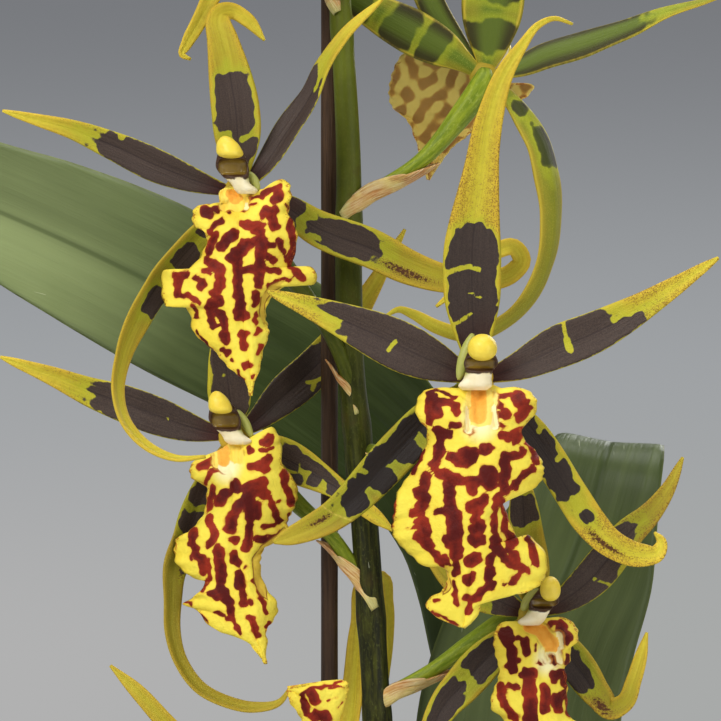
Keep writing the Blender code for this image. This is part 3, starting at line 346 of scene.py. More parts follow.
square = (np.abs(np.cos(turn)) ** 4 + np.abs(np.sin(turn)) ** 4) ** -.25
ring = np.stack([step[:, None] + 0 * turn, body * square * np.cos(turn), body * square * np.sin(turn)], -1)
size = np.stack([length / 2, length * draw.uniform(.25, .42, count), draw.uniform(1.6, 3.4, count)], -1)
chips = ring * size[:, None, None] * draw.uniform(.78, 1.16, (count, 5, 8, 1))
yaw = draw.uniform(0, math.pi, count)
pitch = draw.uniform(-.35, .35, count)
tilt = draw.uniform(-.5, .5, count)
one, none = np.ones(count), np.zeros(count)
cos, sin = np.cos(tilt), np.sin(tilt)
about_x = np.array([[one, none, none], [none, cos, -sin], [none, sin, cos]])
cos, sin = np.cos(pitch), np.sin(pitch)
about_y = np.array([[cos, none, sin], [none, one, none], [-sin, none, cos]])
cos, sin = np.cos(yaw), np.sin(yaw)
about_z = np.array([[cos, -sin, none], [sin, cos, none], [none, none, one]])
turns = np.einsum("ijn,jkn,kln->nil", about_z, about_y, about_x)
chips = np.einsum("nij,nabj->nabi", turns, chips)
chips += np.concatenate([place, draw.uniform(BARK_TOP, BARK_TOP + 3.5, (count, 1))], -1)[:, None, None]
top = [(radius, BARK_TOP) for radius in np.linspace(2, 55.2, 22)]
bed = turned(top + [(55.4, 92), (50, 60), (44, 25), (40.2, 2.2), (36, 1.9), (18, 1.9), (3, 1.9)], 120)
bed[:22, :, 2] += draw.uniform(-1.3, .9, (22, 120))
tones = [np.full((5, 8), value) for value in draw.uniform(0, 1, count)]
bark = skin("bark_chips", [bed, *chips], bark_brown, {"tone": [np.full(bed.shape[:2], .2), *tones]})
settle(bark, "bark", "bark_mix")

# Pseudobulbs: the ribbed green swellings that store water and carry the leaves, dry sheaths at their feet.
# They grow from a creeping rootstock just under the bark.
BULB_HALF_SIZE = (11.0, 17.0, 34.0)
BULB_CENTRE_HEIGHT = 122.0

bulb_green, shade, shader = finish_of("waxy pseudobulb", Coat_Weight=.15, Coat_Roughness=.35)
spot = object_place(shade)
rib = carried(shade, "rib")[0]
level = shade.node("ShaderNodeSeparateXYZ", (), {0: spot}, 2)
streaks = shade.node("ShaderNodeMapping", (), {0: spot, 3: (1, 1, .08)})
lines = grain(shade, streaks, 900, 3)
green = tint(rib * .6 + lines * .4, screen(88, 104, 44), screen(136, 146, 74))
green = tint(ease(grain(shade, spot, 90, 3), .5, .72), green, screen(150, 146, 84))
dry = ease(level + (grain(shade, streaks, 320, 4) - .5) * .03, .113, .103)
papery = tint(lines, screen(122, 92, 60), screen(186, 160, 120))
feed(shader, "Base Color", tint(dry, green, papery))
feed(shader, "Roughness", .42 + dry * .4)
relief(shader, lines + dry, .0004)
rise = np.sin(np.linspace(-math.pi / 2 + .06, math.pi / 2 - .06, 72))[:, None]
turn = np.linspace(0, 2 * math.pi, 112, endpoint=False)
for number, place in enumerate(BULB_PLACES, 1):
    ribs = np.cos(7 * turn)
    fine = .006 * np.cos(21 * turn + 3 * rise + number) + .004 * np.cos(37 * turn - 2 * rise)
    across = np.sqrt(1 - rise**2) * (1 + .03 * ribs + fine * (1 - rise**2)) * (1.04 - .22 * rise)
    rings = np.stack([place[0] + BULB_HALF_SIZE[0] * across * np.cos(turn),
                      place[1] + BULB_HALF_SIZE[1] * across * np.sin(turn),
                      BULB_CENTRE_HEIGHT + BULB_HALF_SIZE[2] * (rise + 0 * turn)], -1)
    bulb = skin(f"bulb_{number}", [rings], bulb_green, {"rib": [ribs / 2 + .5 + 0 * rise]})
    settle(bulb, "bulb", f"pseudobulb_{number}")

# Leaves: long folded straps, leathery, with a groove over the midrib and fine veins along them.
# Six grow from the tops of the bulbs and three from the rootstock.
LEAF_THICKNESS = 1.0
LEAF_KEEL = 13.0
FLAT_KEELS = {"leaf_2": 5.0}
LEAF_OUTLINE = [(0, .3), (.12, .45), (.3, .8), (.5, 1), (.7, .95), (.85, .7), (.95, .35), (1, .04)]
# painted sheen and shade of a leaf: shares of its length, how light its green is painted there, and how much
# lighter still its lower half is painted
LEAF_PAINTED_LIGHT = {
    "leaf_1": ([.6, .653, .675, .69, .715, .73, .77], [0, .15, .33, .45, .63, .73, .84], .25),
    "leaf_2": ([.45, .66, .74, .85], [.3, .28, .16, .12], 0),
}
# each leaf: half-width, outline, line of the midrib and the direction that its upper face takes along it
LEAVES = {
    "leaf_1": (20.6, [(0, .27), (.2, .36), (.45, .6), (.56, .88), (.62, .97), (.68, 1), (.73, .93),
        (.8, .74), (.9, .52), (1, .04)], [(25, 24, 156.2), (28, 29, 195), (31, 37, 245), (30, 43, 290),
        (27, 45, 330), (21, 46, 360), (9, 47, 380.5), (-8, 48, 395), (-41, 49, 413.8), (-65, 49, 425.8),
        (-87, 47, 435.6), (-112, 40, 445.4), (-136, 30, 449), (-156, 18, 443), (-170, 6, 430)],
        [(-.7, -.7, 0), (-.7, -.7, 0), (-.5, -.9, 0), (-.2, -1, .1), (0, -1, .3), (0, -.9, .5)]),
    "leaf_2": (24.0, [(0, .22), (.2, .5), (.42, .95), (.54, 1), (.6, .95), (.67, .84), (.72, .68),
        (.79, .52), (.9, .33), (1, .04)], [(27, 15.5, 154.9), (31, 13, 200), (34, 16, 250), (36, 20, 295),
        (38, 22, 318), (43, 22, 336), (50.5, 22, 354), (55, 22.5, 367), (58, 25, 376.5), (60, 32, 380),
        (62, 42, 377), (63.5, 54, 366), (64, 64, 350), (64, 70, 332)], [(-.1, -1, 0), (-.1, -1, 0),
        (-.1, -1, 0), (-.1, -1, 0), (-.1, -1, 0), (0, -.3, 1), (0, .6, .6)]),
    "leaf_3": (17.0, LEAF_OUTLINE, [(-26, 17, 154.8), (-34, 8, 195), (-50, -10, 235), (-78, -35, 262),
        (-110, -58, 262), (-138, -74.6, 242), (-158, -85.5, 212)], [(.7, .7, 0), (.5, .5, .7), (0, 0, 1),
        (0, 0, 1)]),
    "leaf_4": (17.0, LEAF_OUTLINE, [(-24, 24, 155.6), (-34, 34, 200), (-55, 52, 240), (-88, 78, 262),
        (-122, 100, 258), (-150, 116, 236), (-168, 126, 206)], [(.7, -.7, 0), (.5, -.5, .7), (0, 0, 1),
        (0, 0, 1)]),
    "leaf_5": (16.0, LEAF_OUTLINE, [(-1, 27.5, 154.9), (-8, 42, 200), (-20, 66, 238), (-38, 98, 260),
        (-58, 130, 258), (-76, 158, 238), (-90, 180, 208)], [(.3, -.9, 0), (.2, -.7, .6), (0, 0, 1),
        (0, 0, 1)]),
    "leaf_6": (16.0, LEAF_OUTLINE, [(4, 22, 156.6), (12, 40, 196), (24, 74, 232), (38, 108, 252),
        (54, 142, 250), (68, 170, 230), (78, 194, 198)], [(-.3, -.9, 0), (-.2, -.7, .6), (0, 0, 1),
        (0, 0, 1)]),
    "leaf_7": (16.0, LEAF_OUTLINE, [(41, 12, 93), (47, 6, 135), (64, -12, 180), (92, -34, 208),
        (124, -54, 210), (152, -70, 192), (172, -82, 162)], [(-.8, .6, 0), (-.5, .4, .7), (0, 0, 1),
        (0, 0, 1)]),
    "leaf_8": (16.0, LEAF_OUTLINE, [(41, 30, 93), (50, 40, 140), (74, 58, 188), (106, 80, 216),
        (140, 102, 218), (170, 120, 198), (190, 132, 168)], [(-.8, -.6, 0), (-.5, -.4, .7), (0, 0, 1),
        (0, 0, 1)]),
    "leaf_9": (16.0, LEAF_OUTLINE, [(-39, 19, 93), (-48, 20, 140), (-74, 22, 186), (-106, 20, 212),
        (-140, 14, 212), (-170, 6, 192), (-192, 0, 162)], [(1, 0, 0), (.7, 0, .7), (0, 0, 1), (0, 0, 1)]),
}


def unit(vectors):
    return vectors / np.linalg.norm(vectors, axis=-1, keepdims=True)


def run_of(line):
    """The length of a line up to each of its points."""
    return np.concatenate([[0], np.cumsum(np.linalg.norm(np.diff(line, axis=0), axis=1))])


def smooth_line(points, count, start=0.0):
    """A smooth line through the points, read at even steps of its length from a start."""
    points = np.array(points, float)
    keys = run_of(points)
    line = curve_through(np.linspace(0, keys[-1], 400), keys, points)
    run = run_of(line)
    at = np.linspace(start, run[-1], count)
    return np.stack([np.interp(at, run, column) for column in line.T], -1)


def spread(values, count):
    """The values, set out evenly along a line, read at even steps."""
    values = np.array(values, float)
    at, keys = np.linspace(0, len(values) - 1, count), np.arange(len(values))
    if values.ndim == 1:
        return np.interp(at, keys, values)
    return np.stack([np.interp(at, keys, column) for column in values.T], -1)


def blade(line, half_width, outline, faces, roll, keel, across, wave=0.0, seed=0):
    """A grid of points over a blade: (along, across, xyz), with its width and the shares across.

    From each point of the line the blade reaches to both sides by the outline's width, and rises with the
    share across to the power 1.3 by the keel's angle. Its margins wave in two sines along the line.
    """
    count = len(line)
    tangent = unit(np.gradient(line, axis=0))
    face = spread(faces, count)
    face = unit(face - tangent * np.sum(face * tangent, -1, keepdims=True))
    side = np.cross(tangent, face)
    angle = np.radians(spread(roll, count))[:, None]
    side, face = side * np.cos(angle) + face * np.sin(angle), face * np.cos(angle) - side * np.sin(angle)
    keys, shares = np.array(outline, float).T
    width = half_width * np.clip(curve_through(np.linspace(0, 1, count), keys, shares), .02, 1.05)
    run = run_of(line)
    u = np.linspace(-1, 1, across)
    lift = width[:, None] * math.sin(math.radians(keel)) * np.abs(u) ** 1.3
    ripple = np.sin(run[:, None] / 4.1 + seed + 1.7 * np.sign(u))
    ripple = ripple + np.sin(run[:, None] / 2.3 - seed + np.sign(u))
    lift = lift + wave * ripple * np.abs(u) ** 3 * np.minimum(width / half_width, 1)[:, None]
    reach = width[:, None] * math.cos(math.radians(keel)) * u
    grid = line[:, None] + side[:, None] * reach[..., None] + face[:, None] * lift[..., None]
    return grid, width, run, u


def leafy(grid, thickness, facing=-1):
    """Rings round a grid of points: its upper side, then its lower side, thinning to the rim."""
    normal = facing * unit(np.cross(np.gradient(grid, axis=0), np.gradient(grid, axis=1)))
    u = np.linspace(-1, 1, grid.shape[1])
    half = thickness / 2 * np.sqrt(1 - np.abs(u) ** 5)[:, None]
    return np.concatenate([grid + normal * half, (grid - normal * half)[:, -2:0:-1]], 1)


def both_sides(values):
    """A value a grid point as one a ring point."""
    return np.concatenate([values, values[:, -2:0:-1]], 1)


def under_side(grid):
    """0 on the upper side of the rings of a grid and 1 on the lower side."""
    rows, across = grid.shape[:2]
    return np.concatenate([np.zeros((rows, across)), np.ones((rows, across - 2))], 1)


def joined(x, y, z):
    """A place made of three values."""
    return x.node("ShaderNodeCombineXYZ", (), {0: x, 1: y, 2: z})


leaf_green, shade, shader = finish_of("leathery leaf", Specular_IOR_Level=.25)
spot = object_place(shade)
side, run, back, age, share = carried(shade, "side", "run", "back", "age", "share")
veins = grain(shade, joined(side, run * .03, age * 7), 1.5, 3, .6)
bands = grain(shade, joined(side, run * .06, age * 9), .3, 2)
clouds = grain(shade, spot, 22, 4, .6)
green = tint(veins * .35 + bands * .6, screen(28, 40, 9), screen(58, 72, 25))
# painted sheen and shade: the share lightens the green toward a pale grey-green where light falls on the leaf,
# and leaves it dark where shade falls
green = tint((share + (bands - .5) * .3) * .85, green, screen(150, 163, 108))
green = tint(ease(clouds, .42, .7) * .2, green, screen(100, 116, 60))
# painted shade: the green is darker within a millimetre of the midrib, as shade in its groove
green = tint(ease(abs(side), 1.0, .2) * .5, green, screen(46, 60, 20))
rim = ease(carried(shade, "rim")[0], .6, .1)
green = tint(rim * .5, green, screen(120, 130, 66))
lean = joined(side * 1.6 + run * .35, run * .1 - side * .1, age * 5)
scar = ease(grain(shade, lean, .8, 2), .72, .75) * ease(clouds, .45, .6)
green = tint(scar * .75, green, screen(196, 200, 164))
feed(shader, "Base Color", tint(back * .35, green, screen(112, 128, 70)))
feed(shader, "Roughness", .34 + veins * .18 + back * .12)
relief(shader, veins + bands + ease(abs(side), .1, 1.3) * 1.2, .00018)
for number, (name, (half_width, outline, points, faces)) in enumerate(LEAVES.items()):
    keel = FLAT_KEELS.get(name, LEAF_KEEL)
    line = smooth_line(points, 110)
    grid, width, run, u = blade(line, half_width, outline, faces, (0,), keel, 25, .15, number)
    keys, light, lean = LEAF_PAINTED_LIGHT.get(name, ([.5, .75, 1], [0, .3, .65], 0))
    # painted sheen and shade at each point, lighter toward the tip on leaves without their own table
    painted_light = np.interp(run[:, None] / run[-1], keys, light) * (1 - lean * (np.clip(u * 5, -1, 1) + .6 * u**2))
    fields = {"side": width[:, None] * u, "run": run[:, None] + 0 * u, "share": painted_light,
              "rim": width[:, None] * (1 - np.abs(u)), "age": number / 9 + 0 * width[:, None] * u}
    fields = {key: [both_sides(value)] for key, value in fields.items()}
    fields["back"] = [under_side(grid)]
    settle(skin(f"{name}_blade", [leafy(grid, LEAF_THICKNESS)], leaf_green, fields), "leaf", name)

# Spike: the flower stem and the stalks of its blooms, grown as one piece, green and a little glossy.
# The stem is darker and browner lower down, thickens at each joint, and tapers to its tip.
STEM_LINE = [(14.8, 0, 88), (13.6, 0, 125), (9.2, 0, 214), (4.3, 0, 310), (2.1, 0, 346), (-.8, 0, 384),
    (-2.2, 0, 398), (-2.7, 0, 418), (-2.7, 0, 444), (-4.7, 0, 483), (-7.0, 0, 525), (-11, 0, 572)]
STEM_RADIUS = 3.4
STEM_TIP_RADIUS = 1.5
PEDICEL_RADIUS = 1.7
OVARY_RADIUS = 2.7
# how much fresher a flower stalk is than the stem, where it isn't wholly fresh
STALK_FRESHNESS = {"bloom_3": .15, "bloom_5": .75, "bloom_6": .95}
# lines of the flower stalks, from the stem's axis to just behind each bloom or to the foot of each bud
PEDICELS = {
    "bloom_1": [(-4.6, 0, 480.6), (-8.5, -.5, 488), (-13, -1.5, 499), (-19.5, -4, 510), (-24.5, -8, 517),
        (-25.8, -11, 519.2), (-25.8, -13.6, 519.6)],
    "bloom_2": [(-2.3, 0, 435.8), (5, 0, 440), (14.5, 0, 446.5), (22, 0, 455), (27, 1, 462), (28.5, 3, 465),
        (28.7, 5.2, 466.1)],
    "bloom_3": [(-.4, 0, 388.6), (-2.6, -1.5, 395.5), (-5.2, -3, 402.5), (-9, -5, 409.5),
        (-14.5, -7.5, 417.5), (-21.5, -10, 427.5), (-26.5, -12.8, 435.5), (-27.5, -16.3, 437.6)],
    "bloom_4": [(.7, 0, 379.4), (6, -5, 379), (12, -13, 383), (19, -21, 389), (24.5, -28, 394),
        (26, -33.6, 395.7)],
    "bloom_5": [(2.4, 0, 344.9), (-1.5, -.5, 352), (-7, -.5, 360), (-14.5, 0, 367), (-22, 0, 375),
        (-27.5, -2, 381), (-29, -6.3, 382.8)],
    "bloom_6": [(3.8, 0, 321.9), (9, -.5, 324.5), (16, -1, 328.5), (26, -3, 335.5), (35, -6.5, 341),
        (38.3, -9, 342.4), (38.8, -11.3, 342.5)],
    "bloom_7": [(5.6, 0, 283), (4, -3.5, 286), (1.5, -7, 291), (-.3, -10, 296.5), (-.6, -13.2, 299.6)],
    "bud_1": [(-6.4, 0, 517.4), (-2.5, -1.5, 521), (3, -3.5, 528), (7, -5, 537)],
    "bud_2": [(-9.2, 0, 548), (-13, -1, 551), (-18, -2, 556), (-22, -3, 563)],
    "bud_3": [(-11, 0, 572), (-11.8, -.3, 576), (-13, -1, 581)],
}


def tube(line, radii, reference, around=24):
    """Rings round a line: circles of the radii, square to the line, turned by a fixed reference direction."""
    tangent = unit(np.gradient(line, axis=0))
    side = unit(np.cross(tangent, reference))
    front = np.cross(side, tangent)
    turn = np.linspace(0, 2 * math.pi, around, endpoint=False)[:, None]
    radii = np.asarray(radii, float)
    radii = radii[..., None] if radii.ndim == 2 else np.broadcast_to(radii, (len(line),))[:, None, None]
    return line[:, None] + radii * (side[:, None] * np.cos(turn) + front[:, None] * np.sin(turn))


def stem_radius(height):
    """The radius of the stem at a height, from its foot over its middle to its tip."""
    return np.interp(height, [STEM_LINE[0][2], 420, STEM_LINE[-1][2]], [STEM_RADIUS, 3.1, STEM_TIP_RADIUS])


stem_green, shade, shader = finish_of("flower stem", Specular_IOR_Level=.2)
spot = object_place(shade)
level = shade.node("ShaderNodeSeparateXYZ", (), {0: spot}, 2)
stalk, run, round_a, round_b = carried(shade, "stalk", "run", "round_a", "round_b")
streaks = joined(round_a, round_b, run * .12)
lines = grain(shade, streaks, 1.1, 3, .65)
skin_cells = grain(shade, joined(round_a, round_b, run * .5), 2.2, 3, .6)
blotch = grain(shade, spot, 130, 4, .6)
green = tint(ease(level + blotch * .1, .4, .54), screen(28, 29, 3), screen(96, 104, 18))
green = tint(ease(lines, .4, .7) * .5, green, screen(84, 86, 20))
green = tint(ease(skin_cells, .54, .7) * .25, green, screen(112, 118, 44))
green = tint(ease(blotch, .55, .68) * .4, green, screen(66, 46, 18))
scratch = ease(grain(shade, streaks, .9, 3, .7), .72, .76) * ease(blotch, .48, .56)
green = tint(scratch * .8, green, screen(190, 192, 160))
fresh = tint(ease(lines, .3, .72), screen(98, 118, 18), screen(142, 154, 36))
fresh = tint(ease(skin_cells, .5, .75) * .4, fresh, screen(176, 182, 92))
fresh = tint(ease(stalk, 1, 1.5), fresh, screen(188, 190, 112))
feed(shader, "Base Color", tint(stalk, green, fresh))
feed(shader, "Roughness", .38 + blotch * .18)
relief(shader, lines * .6 + skin_cells * .4, .0002)
turn = np.linspace(0, 2 * math.pi, 32, endpoint=False)
line = smooth_line(STEM_LINE, 320)
joints = np.array([points[0][2] for points in PEDICELS.values()])
swell = 1 + .1 * np.exp(-((line[:, 2:] - joints + 4) / 4) ** 2).sum(1)
shells = [tube(line, stem_radius(line[:, 2]) * swell, (1, 0, 0), 32)]
fields = {"stalk": [np.zeros((320, 32))], "run": [run_of(line)[:, None] + 0 * turn],
          "round_a": [3 * np.cos(turn) + 0 * line[:, :1]], "round_b": [3 * np.sin(turn) + 0 * line[:, :1]]}
for name, points in PEDICELS.items():
    end = OVARY_RADIUS if name.startswith("bloom") else PEDICEL_RADIUS
    line = smooth_line(points, 64)
    share = np.linspace(0, 1, 64)[:, None]
    keys = [0, .2, .35, .6, .8, .93, 1]
    sizes = [1.75, PEDICEL_RADIUS, PEDICEL_RADIUS, (end + PEDICEL_RADIUS) / 2, end, end * .9, end * .75]
    radii = curve_through(share[:, 0], keys, sizes)
    ribs = 1 + .035 * np.cos(6 * turn) * np.clip((share - .35) * 3, 0, 1)
    shells.append(tube(line, radii[:, None] * ribs, (0, 1, 0), 32))
    fields["stalk"].append(STALK_FRESHNESS.get(name, 1) * np.clip((share - .02) * 9, 0, 1) + 0 * turn)
    fields["run"].append(run_of(line)[:, None] + 0 * turn)
    fields["round_a"].append(2 * np.cos(turn) + 0 * share)
    fields["round_b"].append(2 * np.sin(turn) + 0 * share)
settle(skin("flower_stem", shells, stem_green, fields), "stem", "spike")

# Stake: a round stick of dark stained wood, pushed into the bark beside the stem.
# It is split from bamboo and turned smooth, with its grain along it.
STAKE_PLACE = (-7.2, 6.0)
STAKE_FOOT = 40.0
STAKE_TOP = 545.0

stick_brown, shade, shader = finish_of("dark stained stick", Specular_IOR_Level=.3)
spot = object_place(shade)
streaks = shade.node("ShaderNodeMapping", (), {0: spot, 3: (1, 1, .05)})
wood = grain(shade, streaks, 1500, 5, .65)
patches = grain(shade, spot, 45, 4, .6)
level = shade.node("ShaderNodeSeparateXYZ", (), {0: spot}, 2)
brown = tint(ease(wood, .3, .7), screen(58, 38, 24), screen(92, 66, 44))
brown = tint(ease(level + patches * .06, .46, .34) * .45, brown, screen(44, 30, 20))
feed(shader, "Base Color", tint(ease(patches, .5, .7) * .4, brown, screen(84, 60, 40)))
feed(shader, "Roughness", .42 + wood * .25)
relief(shader, wood, .0004)
height = np.concatenate([[STAKE_FOOT, STAKE_FOOT + .4], np.linspace(STAKE_FOOT + 2, STAKE_TOP - 1, 90),
                         [STAKE_TOP - .3, STAKE_TOP]])
line = np.stack([0 * height + STAKE_PLACE[0], 0 * height + STAKE_PLACE[1], height], -1)
radii = 1.97 + .025 * np.sin(height / 7)
radii[[0, -1]] = 1.55
settle(skin("plant_stick", [tube(line, radii, (1, 0, 0))], stick_brown), "stake", "stake")

# Clips: loops of green coated wire that hold the stem to the stake.
wire_green, shade, shader = finish_of("coated wire")
spot = object_place(shade)
scuff = grain(shade, spot, 500, 4, .6)
feed(shader, "Base Color", tint(ease(scuff, .5, .75), (.03, .07, .03, 1), (.08, .13, .07, 1)))
feed(shader, "Roughness", .3 + scuff * .25)
relief(shader, scuff, .0001)
for name in ("clip_1", "clip_2"):
    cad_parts[name].material_slots[0].material = wire_green

# Bracts: small papery sheaths under each flower stalk, dry and pale brown with fine veins.
# Each clasps its joint of the stem and wraps the underside of the stalk to a point.
BRACT_SIZES = {
    "bloom_1": (20, 3.2),
    "bloom_2": (22, 4.6),
    "bloom_3": (14, 1.4),
    "bloom_4": (8, 2.2),
    "bloom_5": (19, 3.2),
    "bloom_6": (19, 4.2),
    "bloom_7": (12, 2.4),
    "bud_1": (13, 2.6),
    "bud_2": (11, 2.2),
    "bud_3": (7, 1.8),
}
# how far the foot of a sheath reaches beyond the start of its stalk
BRACT_REACH = {"bloom_2": (-2.6, -.8, -1.6), "bloom_5": (1.6, -.6, -1.2)}
BRACT_OUTLINE = [(0, .45), (.12, .8), (.35, 1), (.62, .9), (.82, .6), (.94, .25), (1, .05)]

bract_tan, shade, shader = finish_of("papery bract")
spot = object_place(shade)
side, run, share = carried(shade, "side", "run", "share")
veins = grain(shade, joined(side * 3.2, run * .16, 0.0), 1.0, 3, .6)
warm = grain(shade, spot, 260, 3)
tan = tint(ease(warm + share * .25, .35, .75), screen(230, 204, 118), screen(200, 134, 64))
tan = tint(ease(veins, .42, .68) * .6, tan, screen(246, 232, 180))
tan = tint(ease(veins, .42, .3) * .6, tan, screen(142, 90, 52))
tan = tint(ease(share + warm * .3, .32, .1) * .7, tan, screen(168, 172, 100))
feed(shader, "Base Color", tan)
feed(shader, "Roughness", .5 + veins * .2)
relief(shader, veins, .0005)
for number, name in enumerate(PEDICELS):
    stalk = smooth_line(PEDICELS[name], 160)
    run = run_of(stalk)
    span, wide = BRACT_SIZES[name]
    at = np.linspace(0, min(span, run[-1] * .9), 40)
    line = np.stack([np.interp(at, run, column) for column in stalk.T], -1)
    tangent = unit(np.gradient(line, axis=0))
    share = np.linspace(0, 1, 40)[:, None]
    under = np.array([0, .2, -1.0]) + np.array([0, -1.3, 0]) * np.clip(1 - share * 1.6, 0, 1)
    under = unit(under - tangent * np.sum(tangent * under, -1, keepdims=True))
    clear = np.clip(1 - share * 4, 0, 1)
    line = line + under * (2.1 + clear * 1.5 + share**2 * 1.4) + clear * BRACT_REACH.get(name, (0, 0, 0))
    grid, width, run, u = blade(line, wide, BRACT_OUTLINE, -under, (0,), 40, 17, .1, number)
    fields = {"side": [both_sides(width[:, None] * u)], "run": [both_sides(run[:, None] + 0 * u)],
              "share": [both_sides(share + 0 * u)]}
    settle(skin(f"{name}_sheath", [leafy(grid, .4)], bract_tan, fields), "bract", f"{name}_bract")

# Sepals and petals: five narrow waxy blades a bloom, gold to green, with dark patches on the inner half.
# They grow from one point behind the column, so the five and their small core are one piece.
TEPAL_THICKNESS = 0.8
TEPAL_KEEL = 14.0
TEPAL_START = 2.1
PETAL_OUTLINE = [(0, .3), (.08, .55), (.17, .8), (.3, 1), (.42, .98), (.55, .83), (.7, .6), (.85, .37),
    (.95, .2), (1, .07)]
SEPAL_OUTLINE = [(0, .3), (.06, .48), (.14, .8), (.25, 1), (.38, .95), (.5, .75), (.62, .55), (.75, .45),
    (.9, .33), (1, .07)]
DORSAL_OUTLINE = [(0, .28), (.08, .6), (.18, .9), (.32, 1), (.48, .88), (.64, .72), (.77, .52), (.88, .33),
    (1, .07)]
